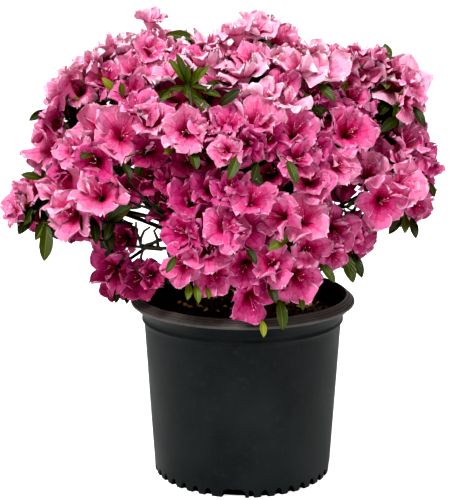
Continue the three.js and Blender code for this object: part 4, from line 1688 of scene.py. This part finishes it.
class Plan:
    """Where every truss, flower and leaf stands."""

    RADIUS = 27.5
    ROLL = 6.28  # the widest turn of a flower about its stalk, in radians
    SPACING = 27.0
    BESIDE = 4  # the flowers tried beside a truss's own, and how they stand to it
    FAN = 1.35
    ASIDE = (26, 36)
    UNDER = (4, 16)
    DEEPER = 6  # the deeper flowers tried in a spray, and how they stand in it
    INWARD = (0.45, 0.8)
    LEAVES = 8
    SHOWN_SIDE_LEAVES = 2
    LEAF_LENGTHS = (30, 46)
    FLOWER_MARGIN = 14  # how far flowers and leaves keep from an opening, in pixels
    DEEP_MARGIN = 16
    LEAF_MARGIN = 4
    TRUSS_DEPTH = 27.0
    CLEAR_HEIGHT = 278.0
    FRONT = 0.12
    BEHIND = -0.3
    DOUBLED = 19
    COVER = 26
    CLEAR = 30.0
    SET_BACK = 12.0
    TUCK = 7
    PLAIN = 22
    LOWERED = 44
    DROP = 8
    DROPS = 4
    ROOF_HEIGHT = 440.0
    ROOF_TRIES = 160
    ROOF_REACH = 175.0
    ROOF_MIDDLE = np.array([5.0, 45.0])
    LOWEST_LEAF = 262.0
    LEAF_SLOPE = 15  # how far a shown leaf's tip stands before its root
    WHORL_BREADTH = 0.66
    WHORL_FRONT = 8.0
    TWIG_DEPTH = 14.0
    LEAN = 1.5
    FULLNESS = 1.36
    PROUD = {Tint.BLUSH: 9.0, Tint.SHELL: 9.0, Tint.ROSE: 1.0, Tint.CERISE: -6.0, Tint.WINE: -24.0}
    SEED = 90210

    def __init__(self, growth: Growth, lens: Lens) -> None:
        """Plans the crown.

        Args:
            growth: The limbs and the places of the blooms.
            lens: The camera's view.
        """
        self.growth = growth
        self.lens = lens
        self.draws = Draws(self.SEED)
        self.trusses: list[Truss] = []
        self.blooms: list[Bloom] = []
        self.leaves: list[Leaf] = []
        for site in growth.sites:
            self.open_truss(site)
        self.surface = self.front_surface()
        self.show_front()
        self.fill_in()
        self.leaf_out()
        self.show_leaves(SHOWN_LEAVES, 1.0, 3.0)
        self.show_leaves(WHORL_LEAVES, self.WHORL_BREADTH, self.WHORL_FRONT)
        self.twigs = [self.shown_twig(row, self.TWIG_DEPTH) for row in SHOWN_TWIGS]
        self.whorl_stem = self.shown_twig(WHORL_STEM, -self.WHORL_FRONT)

    def region(self, truss: int) -> Region:
        """The part of the crown that a truss belongs to."""
        return self.trusses[truss].spray.region

    def toward(self, point: Array) -> float:
        """How far a place on the crown faces the camera, from -1 to 1."""
        return float(np.dot(unit(point - HEART), unit(np.array(self.lens.place) - point)))

    def front_surface(self) -> Array:
        """The pixel and depth of each site that faces the camera."""
        seen = [self.lens.pixel(site.point) for site in self.growth.sites if self.toward(site.point) > -0.1]
        return np.array(seen)

    def depth_at(self, x: float, y: float) -> float:
        """The crown's depth behind a pixel, from the nearest sites.

        Args:
            x: The pixel's column.
            y: The pixel's row.

        Returns:
            The depth ahead of the camera.
        """
        far = np.hypot(self.surface[:, 0] - x, self.surface[:, 1] - y)
        near = np.argsort(far)[:3]
        weights = 1 / (far[near] + 6) ** 2
        return float((self.surface[near, 2] * weights).sum() / weights.sum())

    def nearest_truss(self, point: Array) -> int:
        """The truss whose node is nearest to a point."""
        return int(np.argmin([np.linalg.norm(truss.node - point) for truss in self.trusses]))

    def tint_for(self, point: Array, deeper: float = 0.0) -> Tint:
        """The tint of a flower by its place, pale at the top and deep at the foot, with any steps added to it."""
        # Pale at the top and deep at the foot is partly the flowers' own colour, partly painted light and shade.
        step = 0.3 + (540 - point[2]) / 100 + self.draws.around(1.0) + deeper
        return Tint(int(min(max(round(step), 0), 4)))

    def has_room(self, point: Array, least: float) -> bool:
        """Whether a flower at a place is far enough from all others."""
        return all(float(np.linalg.norm(point - other.point)) > least for other in self.blooms)

    def open_truss(self, site: Site) -> None:
        """Opens the truss of a site: its own flower and those beside it.

        Args:
            site: The site.
        """
        draws = self.draws
        node = site.point - site.facing * self.TRUSS_DEPTH
        self.trusses.append(Truss(site.spray, node, site.facing))
        number = len(self.trusses) - 1
        turn = facing_frame(site.facing, draws.turn())
        first = unit(site.facing + turn[:, 0] * draws.between(0.1, 0.4))
        radius = self.RADIUS * draws.between(0.92, 1.1)
        self.blooms.append(Bloom(site.point, first, site.roll, radius, self.tint_for(site.point), number))
        for k in range(self.BESIDE):
            side = sideways(turn, math.pi + (k - (self.BESIDE - 1) / 2) * self.FAN + draws.around(0.3))
            point = site.point + side * draws.between(*self.ASIDE) - site.facing * draws.between(*self.UNDER)
            facing = unit(site.facing * 0.6 + side * draws.between(0.5, 1.0))
            size = self.RADIUS * draws.between(0.84, 1.02)
            if self.has_room(point, self.SPACING) and point[2] > self.CLEAR_HEIGHT:
                roll = draws.between(0, self.ROLL)
                self.blooms.append(Bloom(point, facing, roll, size, self.tint_for(point, 0.3), number))

    def show_front(self) -> None:
        """Moves the front's flowers to where the photograph shows them, at the crown's own depth."""
        draws = self.draws
        shown = []
        for x, y, radius, right, up, step in SHOWN_FLOWERS:
            tint = Tint(step)
            depth = self.depth_at(x, y) - self.PROUD[tint] + draws.around(4)
            point = self.lens.point(x, y, depth)
            plain = radius >= self.PLAIN
            stray = 0.1 if plain else 0.25
            across = right / 100 * self.LEAN + draws.around(stray)
            lift = up / 100 * self.LEAN + 0.1 + draws.around(stray)
            facing = unit(self.lens.way(across, lift) + unit(point - HEART) * 0.25)
            size = self.FULLNESS * radius * depth / self.lens.focal
            truss = self.nearest_truss(point - facing * self.TRUSS_DEPTH)
            shown.append(Bloom(point, facing, draws.between(0, self.ROLL), size, tint, truss, plain))
        places = np.array([self.lens.pixel(bloom.point) for bloom in shown])
        moved = [bloom for bloom in self.blooms if not self.stays(bloom, places)]
        self.blooms = [bloom for bloom in self.blooms if self.stays(bloom, places)] + shown
        for bloom in moved:
            self.tuck_behind(bloom, places, 1)
        self.close_top(places)

    def stays(self, bloom: Bloom, places: Array) -> bool:
        """Whether a flower of the rule stays where it is, beside those that the photograph shows.

        Args:
            bloom: The flower.
            places: The pixels and depths of the shown ones.

        Returns:
            True where it is on the far side, and neither doubles a shown one nor covers an opening.
        """
        x, y, _ = self.lens.pixel(bloom.point)
        toward = self.toward(bloom.point)
        doubled = toward > self.BEHIND and np.hypot(places[:, 0] - x, places[:, 1] - y).min() < self.DOUBLED
        return toward < self.FRONT and not doubled and not in_opening(x, y, self.FLOWER_MARGIN)

    def tuck_behind(self, bloom: Bloom, places: Array, tries: int) -> None:
        """Keeps a near flower of the rule where it closes the crown behind the shown ones, lowered out of sight.

        Args:
            bloom: The flower.
            places: The pixels and depths of the shown ones.
            tries: How many heights are tried, each lower than the last.
        """
        x, y, depth = self.lens.pixel(bloom.point)
        column = np.abs(places[:, 0] - x) < self.COVER
        if not column.any():
            return
        least = max(0.0, places[column, 1].min() + self.TUCK - y)
        for k in range(tries):
            lower = least + k * self.DROP
            point = bloom.point - UP * lower * depth / self.lens.focal
            near = np.hypot(places[:, 0] - x, places[:, 1] - y - lower) < self.COVER
            behind = bool(near.any()) and depth > places[near, 2].min() + self.SET_BACK
            hidden = behind and lower < self.LOWERED and not in_opening(x, y + lower, self.FLOWER_MARGIN)
            if hidden and self.has_room(point, self.CLEAR):
                self.blooms.append(replace(bloom, point=point))
                return

    def close_top(self, places: Array) -> None:
        """Opens more trusses over the crown's top where the shown flowers leave it bare.

        Args:
            places: The pixels and depths of the shown flowers.
        """
        draws = self.draws
        high = [site for site in self.growth.sites if site.point[2] > self.ROOF_HEIGHT]
        spots = np.array([site.point for site in high])
        for k in range(self.ROOF_TRIES):
            reach = self.ROOF_REACH * math.sqrt((k + 0.5) / self.ROOF_TRIES)
            flat = self.ROOF_MIDDLE + reach * np.array([math.cos(k * GOLDEN_ANGLE), math.sin(k * GOLDEN_ANGLE)])
            far = np.hypot(spots[:, 0] - flat[0], spots[:, 1] - flat[1])
            near = np.argsort(far)[:4]
            height = float(np.average(spots[near, 2], weights=1 / (far[near] + 12)))
            point = np.array([*flat, height + draws.around(6)])
            spray = high[near[0]].spray
            facing = unit(unit(point - HEART) + np.array([draws.around(0.5), draws.around(0.5), 0]))
            node = point - facing * self.TRUSS_DEPTH
            roll = draws.between(0, self.ROLL)
            bloom = Bloom(point, facing, roll, self.RADIUS, self.tint_for(point), len(self.trusses))
            before = len(self.blooms)
            self.tuck_behind(bloom, places, self.DROPS)
            if len(self.blooms) > before:
                self.trusses.append(Truss(spray, node - (point - self.blooms[-1].point), facing))

    def fill_in(self) -> None:
        """Adds the deeper flowers that show between the outer ones."""
        draws = self.draws
        for spray in SPRAYS:
            first = len(self.trusses)
            self.trusses.append(Truss(spray, spray.centre - spray.outward * 10, spray.outward))
            turn = facing_frame(spray.outward, draws.turn())
            for angle in bearings(self.DEEPER):
                side = sideways(turn, angle + draws.around(0.4))
                inward = side * spray.spread * draws.between(*self.INWARD)
                point = spray.centre + inward + spray.outward * draws.around(8)
                x, y, _ = self.lens.pixel(point)
                clear = not in_opening(x, y, self.DEEP_MARGIN) and point[2] > self.CLEAR_HEIGHT
                if clear and self.has_room(point, self.CLEAR):
                    facing = unit(spray.outward + side * 0.5)
                    size = self.RADIUS * draws.between(0.8, 0.95)
                    # Flowers deeper inside the crown take a deeper tint as painted shade.
                    tint = self.tint_for(point, 1.6)
                    self.blooms.append(Bloom(point, facing, draws.between(0, self.ROLL), size, tint, first))

    def leaf_out(self) -> None:
        """Gives each truss its whorl of leaves, but none that would cover an opening."""
        draws = self.draws
        for number, truss in enumerate(self.trusses):
            turn = facing_frame(truss.facing, draws.turn())
            for k in range(self.SHOWN_SIDE_LEAVES if self.toward(truss.node) > self.FRONT else self.LEAVES):
                side = sideways(turn, k * GOLDEN_ANGLE + draws.around(0.3))
                way = unit(side + truss.facing * draws.between(-0.5, 0.3) - UP * 0.3)
                over = unit(truss.facing - way * np.dot(truss.facing, way))
                length = draws.between(*self.LEAF_LENGTHS)
                tone = Tone(int(draws.next() ** 2.2 * 3.4))
                root = truss.node - truss.facing * draws.between(0, 12)
                end = root + way * length
                x, y, _ = self.lens.pixel(end)
                if not in_opening(x, y, self.LEAF_MARGIN) and end[2] > self.LOWEST_LEAF:
                    self.leaves.append(Leaf(number, root, way, over, length, tone))

    def show_leaves(self, rows: Sequence[Row], breadth: float, front: float) -> None:
        """Adds leaves that the photograph shows in front, each on a stalk from the nearest truss.

        Args:
            rows: Their pixels and tones.
            breadth: Their breadth beside that of the plant's other leaves.
            front: How far their roots stand before the flowers.
        """
        for x0, y0, x1, y1, step in rows:
            depth = self.depth_at(x0, y0)
            root = self.lens.point(x0, y0, depth - front)
            tip = self.lens.point(x1, y1, depth - front - self.LEAF_SLOPE)
            way = unit(tip - root)
            sight = unit(np.array(self.lens.place) - root)
            over = unit(sight + np.array([0.2, 0, 0.3]))
            over = unit(over - way * np.dot(over, way))
            truss = self.nearest_truss(root)
            length = float(np.linalg.norm(tip - root)) * 1.04
            self.leaves.append(Leaf(truss, root, way, over, length, Tone(step), stalked=True, breadth=breadth))

    def shown_twig(self, row: Sequence[Pair], behind: float) -> tuple[int, Array]:
        """A bare twig or stem that shows, from the nearest truss's node.

        Args:
            row: Its pixels from the thick end.
            behind: How far it lies behind the flowers.

        Returns:
            The truss's number and the twig's path.
        """
        points = [self.lens.point(x, y, self.depth_at(x, y) + behind) for x, y in row]
        truss = self.nearest_truss(points[0])
        return truss, np.array([self.trusses[truss].node, *points])


@dataclass
class Crown:
    """The twigs, leaves and flowers as meshes."""

    plan: Plan
    # The throat and heart colours are partly lightened as painted light against the tube's shade.
    PETALS = {
        # The last colour of each tint, the margin, is partly a painted highlight.
        Tint.BLUSH: ("dc4c86", "da4280", "df5f94", "e67ba9", "ee9cbe", "f4b6cf", "fad6e4"),
        Tint.SHELL: ("d03a76", "cc306e", "d34380", "dc588f", "e374a3", "e98fb6", "f2b8d0"),
        Tint.ROSE: ("bc1c5e", "b81558", "c22766", "cb387a", "d4558d", "dc73a3", "e89fc1"),
        Tint.CERISE: ("a00a48", "9e0646", "a81454", "b62264", "c23a7a", "cd548d", "db82ab"),
        Tint.WINE: ("7a0433", "7c0636", "880c42", "93164e", "a42a60", "b44072", "c8668f"),
    }
    TRIMS = {Trim.FRECKLE: "7d0a3c", Trim.FILAMENT: "dc6f9e", Trim.ANTHER: "f3d9cf", Trim.SEPAL: "7f8f45"}
    GREENS = {Tone.DEEP: "2b330a", Tone.MID: "434f12", Tone.FRESH: "5f6d1d", Tone.YOUNG: "8c932b"}
    RIBS = {Tone.DEEP: "454e1b", Tone.MID: "646f2f", Tone.FRESH: "83903f", Tone.YOUNG: "a9ae4c"}
    SEED = 777
    FORMS = 16
    FORM_SEEDS = (501, 37)
    OPENNESS = (0.8, 0.95, 0.85, 1.02, 0.7, 0.9)
    DOUBLING = (2, 4, 1, 3, 4, 0, 5)
    PLAIN_BELOW = 3
    LEAF_SHARES = (0, 0.12, 0.3, 0.5, 0.68, 0.83, 0.94, 1.0)
    LEAF_HALVES = (0.012, 0.072, 0.142, 0.18, 0.178, 0.138, 0.072, 0.006)
    LEAF_ACROSS = (-1, -0.55, -0.07, 0.07, 0.55, 1)
    LEAF_BANDS = (0, 0, 1, 0, 0)  # blade or midrib
    LEAF_BENDS = (0.1, 0.25, 0.42)
    FORK_SHARE = 0.36
    SPRAY_STEM = (1.9, 1.8, 1.7)  # the radii of the limbs, from their thick ends
    TWIG = (1.6, 1.1)
    STALK = (0.9, 0.8)
    LEAF_STALK = (0.9, 0.7)
    BARE_TWIG = (2.4, 1.2)
    WHORL_STEM = (2.0, 1.5)

    def petal_finishes(self, effects: Effects) -> list[Material]:
        """The finishes of the flowers, by tint and zone, and then of their small parts.

        Args:
            effects: The shared node groups.

        Returns:
            Their materials.
        """
        made = []
        for tint in Tint:
            for zone in Zone:
                name = f"Petal {tint.name.lower()} {zone.name.lower()}"
                colour = self.PETALS[tint][zone.value]
                made.append(Blade(name, 0.55, colour=colour, across=26, depth=0.14, gloss=0.12).make(effects))
        for trim in Trim:
            name = f"Flower {trim.name.lower()}"
            made.append(Blade(name, 0.55, colour=self.TRIMS[trim], depth=0.02).make(effects))
        return made

    def leaf_finishes(self, effects: Effects) -> list[Material]:
        """The finishes of the leaves: a blade and a midrib for each tone.

        Args:
            effects: The shared node groups.

        Returns:
            Their materials.
        """
        made = []
        for tone in Tone:
            for part, colours in (("blade", self.GREENS), ("midrib", self.RIBS)):
                name = f"Leaf {tone.name.lower()} {part}"
                finish = Blade(name, 0.4, colour=colours[tone], along=34, across=-16, depth=0.13, gloss=0.4)
                made.append(finish.make(effects))
        return made

    def leaf_shape(self, bend: float) -> Shape:
        """One leaf of unit length that grows along +X, folded a little along its midrib and arched.

        Args:
            bend: How far its tip droops.

        Returns:
            The leaf.
        """
        u = np.array(self.LEAF_SHARES)[:, None]
        v = np.array(self.LEAF_ACROSS)[None, :]
        y = np.interp(u, self.LEAF_SHARES, self.LEAF_HALVES) * v
        z = 0.5 * np.abs(y) - bend * (u - 0.25) ** 2 + 0.012 * np.sin(u * 16) * np.abs(v)
        return grid(stacked(u, y, z), np.array([self.LEAF_BANDS]), stacked(u, v))

    @staticmethod
    def twig(root: tuple, tip: tuple, radii: Pair, sides: int) -> Shape:
        """A twig that leaves one way and arrives another.

        Args:
            root: Where it starts, and the way it leaves.
            tip: Where it ends, and the way it arrives.
            radii: Its radius at each end.
            sides: How many sides it has.

        Returns:
            The twig.
        """
        (start, leave), (end, arrive) = root, tip
        span = float(np.linalg.norm(end - start))
        curve = Bezier(start, start + leave * span * 0.35, end - arrive * span * 0.4, end)
        steps = max(3, int(span / 12))
        shares = np.linspace(0, 1, steps + 1)
        return tube(curve.at(shares), np.interp(shares, (0, 1), radii), sides)

    def grow_twigs(self, piles: dict[Region, Pile]) -> None:
        """Grows the spray stems, the twigs to the trusses and the stalks of flowers and leaves.

        Args:
            piles: Where each region's twigs are gathered.
        """
        forks = {}
        for spray in SPRAYS:
            limb = self.plan.growth.limbs[spray.name]
            tip, way = limb.curve.at(1.0), limb.curve.way(1.0)
            fork = forks[spray.name] = tip + way * self.FORK_SHARE * spray.spread
            path = np.array([tip, (tip + fork) / 2, fork])
            piles[spray.region].add(tube(path, np.array(self.SPRAY_STEM), 6))
        for truss in self.plan.trusses:
            fork = forks[truss.spray.name]
            ends = (fork, unit(truss.node - fork)), (truss.node, truss.facing)
            piles[truss.spray.region].add(self.twig(*ends, self.TWIG, 5))
        for bloom in self.plan.blooms:
            truss = self.plan.trusses[bloom.truss]
            back = bloom.point - bloom.facing * bloom.radius * 0.95
            stalk = self.twig((truss.node, truss.facing), (back, bloom.facing), self.STALK, 4)
            piles[truss.spray.region].add(stalk, 1)
        for number, path in self.plan.twigs:
            twig = tube(path, np.linspace(*self.BARE_TWIG, len(path)), 5)
            piles[self.plan.region(number)].add(twig)
        number, path = self.plan.whorl_stem
        stem = tube(path, np.linspace(*self.WHORL_STEM, len(path)), 6)
        piles[self.plan.region(number)].add(stem, 1)
        for leaf in self.plan.leaves:
            truss = self.plan.trusses[leaf.truss]
            if leaf.stalked:
                stalk = self.twig((truss.node, truss.facing), (leaf.root, leaf.way), self.LEAF_STALK, 4)
                piles[truss.spray.region].add(stalk, 1)

    def grow_leaves(self, piles: dict[Region, Pile]) -> None:
        """Grows the leaves.

        Args:
            piles: Where each region's leaves are gathered.
        """
        shapes = [self.leaf_shape(bend) for bend in self.LEAF_BENDS]
        for number, leaf in enumerate(self.plan.leaves):
            turn = np.column_stack([leaf.way, np.cross(leaf.over, leaf.way) * leaf.breadth, leaf.over])
            shape = shapes[number % len(shapes)].placed(turn, leaf.length, leaf.root)
            piles[self.plan.region(leaf.truss)].add(shape, leaf.tone.value * 2)

    def open_flowers(self, piles: dict[Region, Pile]) -> None:
        """Opens the flowers.

        Args:
            piles: Where each region's flowers are gathered.
        """
        draws = Draws(self.SEED)
        seed, step = self.FORM_SEEDS
        kinds = [
            Flower(seed + step * k, self.OPENNESS[k % len(self.OPENNESS)], self.DOUBLING[k % len(self.DOUBLING)])
            for k in range(self.FORMS)
        ]
        forms = [kind.shape() for kind in kinds]
        plain = [form for kind, form in zip(kinds, forms) if kind.doubling < self.PLAIN_BELOW]
        for bloom in self.plan.blooms:
            pool = plain if bloom.plain else forms
            form = pool[int(draws.next() * len(pool))]
            placed = form.placed(facing_frame(bloom.facing, bloom.roll), bloom.radius, bloom.point)
            shift = bloom.tint.value * len(Zone)
            zones = np.where(placed.zones < len(Zone), placed.zones + shift, placed.zones)
            piles[self.plan.region(bloom.truss)].add(replace(placed, zones=zones))

    def build(self, effects: Effects, twig: Material, shoot: Material) -> None:
        """Makes the twigs, the leaves and the flowers, each kind joined by region.

        Args:
            effects: The shared node groups.
            twig: The bark of the twigs, darkened partly as painted shade.
            shoot: The skin of the green stalks.
        """
        twigs, leaves, flowers = ({region: Pile() for region in Region} for _ in range(3))
        self.grow_twigs(twigs)
        self.grow_leaves(leaves)
        self.open_flowers(flowers)
        greens = self.leaf_finishes(effects)
        petals = self.petal_finishes(effects)
        for region in Region:
            names = [f"spray_{spray.name}" for spray in SPRAYS if spray.region is region]
            for kind, pile, materials in (
                ("twigs", twigs[region], [twig, shoot]),
                ("leaves", leaves[region], greens),
                ("blossom", flowers[region], petals),
            ):
                piece = pile.to_object(f"{kind}_{region.value}", materials)
                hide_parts(*names)
        plan = self.plan
        log.info("%d trusses, %d flowers, %d leaves", len(plan.trusses), len(plan.blooms), len(plan.leaves))


@dataclass
class Studio:
    """The camera, the pale floor and the soft lights."""

    LIGHTS = (  # name, place and side in metres, and power in watts
        ("key", (-1.1, -2.05, 3.35), 1.2, 114),
        ("fill", (2.0, -2.6, 1.6), 1.6, 16),
        ("back", (0.8, 2.6, 2.6), 1.8, 60),
    )
    AIM = (0, 0, 0.35)
    FLOOR_SIZE = 80

    lens: Lens
    frame_height: int = 500
    sensor: float = 36
    ambient: float = 0.42
    floor_glow: float = 0.55
    black_level: float = 0.01

    def add_camera(self) -> None:
        """The camera at the photograph's angle."""
        data = bpy.data.cameras.new("camera")
        data.sensor_width = self.sensor
        data.lens = self.lens.focal / self.frame_height * self.sensor
        camera = bpy.data.objects.new("camera", data)
        camera.location = Vector(self.lens.place) * MM
        camera.rotation_euler = (math.radians(90 - self.lens.pitch), 0, 0)
        bpy.context.collection.objects.link(camera)
        bpy.context.scene.camera = camera

    def add_light(self, name: str, place: Triple, size: float, power: float) -> None:
        """A square soft light that faces the crown.

        Args:
            name: Its name.
            place: Where it stands, in metres.
            size: Its side, in metres.
            power: Its power, in watts.
        """
        data = bpy.data.lights.new(name, "AREA")
        data.size = size
        data.energy = power
        light = bpy.data.objects.new(name, data)
        light.location = place
        aim = Vector(self.AIM) - Vector(place)
        light.rotation_euler = aim.to_track_quat("-Z", "Y").to_euler()
        bpy.context.collection.objects.link(light)

    def add_floor(self) -> None:
        """The wide pale floor, which looks a little brighter than the light that falls on it."""
        bpy.ops.mesh.primitive_plane_add(size=self.FLOOR_SIZE)
        floor = bpy.context.object
        floor.name = "floor"
        material, sheet, shader = Finish("Pale floor", 0.95).start()
        seen = sheet.add("ShaderNodeLightPath").outputs["Is Camera Ray"]
        glow = sheet.math("MULTIPLY", seen, self.floor_glow)
        pale = {"Base Color": (0.9, 0.9, 0.9, 1), "Emission Color": (1, 1, 1, 1), "Emission Strength": glow}
        sheet.fill(shader, pale)
        floor.data.materials.append(material)
        floor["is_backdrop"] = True

    def build(self) -> None:
        """Makes the floor, the lights and the background."""
        self.add_floor()
        world = bpy.data.worlds.new("studio")
        bpy.context.scene.world = world
        world.use_nodes = True
        sheet = Sheet(world.node_tree)
        seen = sheet.add("ShaderNodeLightPath").outputs["Is Camera Ray"]
        strength = sheet.math("MULTIPLY_ADD", seen, 1 - self.ambient, self.ambient)
        background = world.node_tree.nodes["Background"]
        sheet.fill(background, {"Color": (1, 1, 1, 1), "Strength": strength})
        for light in self.LIGHTS:
            self.add_light(*light)
        view = bpy.context.scene.view_settings
        view.view_transform = "Standard"
        view.look = "Medium High Contrast"
        view.use_curve_mapping = True
        view.curve_mapping.black_level = (self.black_level,) * 3
        view.curve_mapping.update()


def corners() -> list[list[float]]:
    """The shown object's lowest and highest corner as plain numbers."""
    return [list(corner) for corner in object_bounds()]


def main() -> None:
    """Builds the potted azalea piece by piece."""
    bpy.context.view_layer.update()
    lens = Lens()
    studio = Studio(lens)
    studio.add_camera()
    effects = Effects()
    NurseryPot().build(effects)
    MixBed().build(effects)
    growth = Growth()
    bark = Earth("Bark", 0.8, dark="241a12", light="5a4634", scale=120, depth=0.6).make(effects)
    # Twigs get a darker bark than the boughs: partly their own dark bark, partly painted shade inside the crown.
    twig = Earth("Twig bark and painted shade", 0.75, dark="17120b", light="332918", scale=160, depth=0.2).make(effects)
    shoot = Earth("Green stalk", 0.6, dark="333c1a", light="57612f", scale=160, depth=0.1).make(effects)
    Framework(growth).build(bark)
    Crown(Plan(growth, lens)).build(effects, twig, shoot)
    studio.build()


if __name__ == "__main__":
    main()
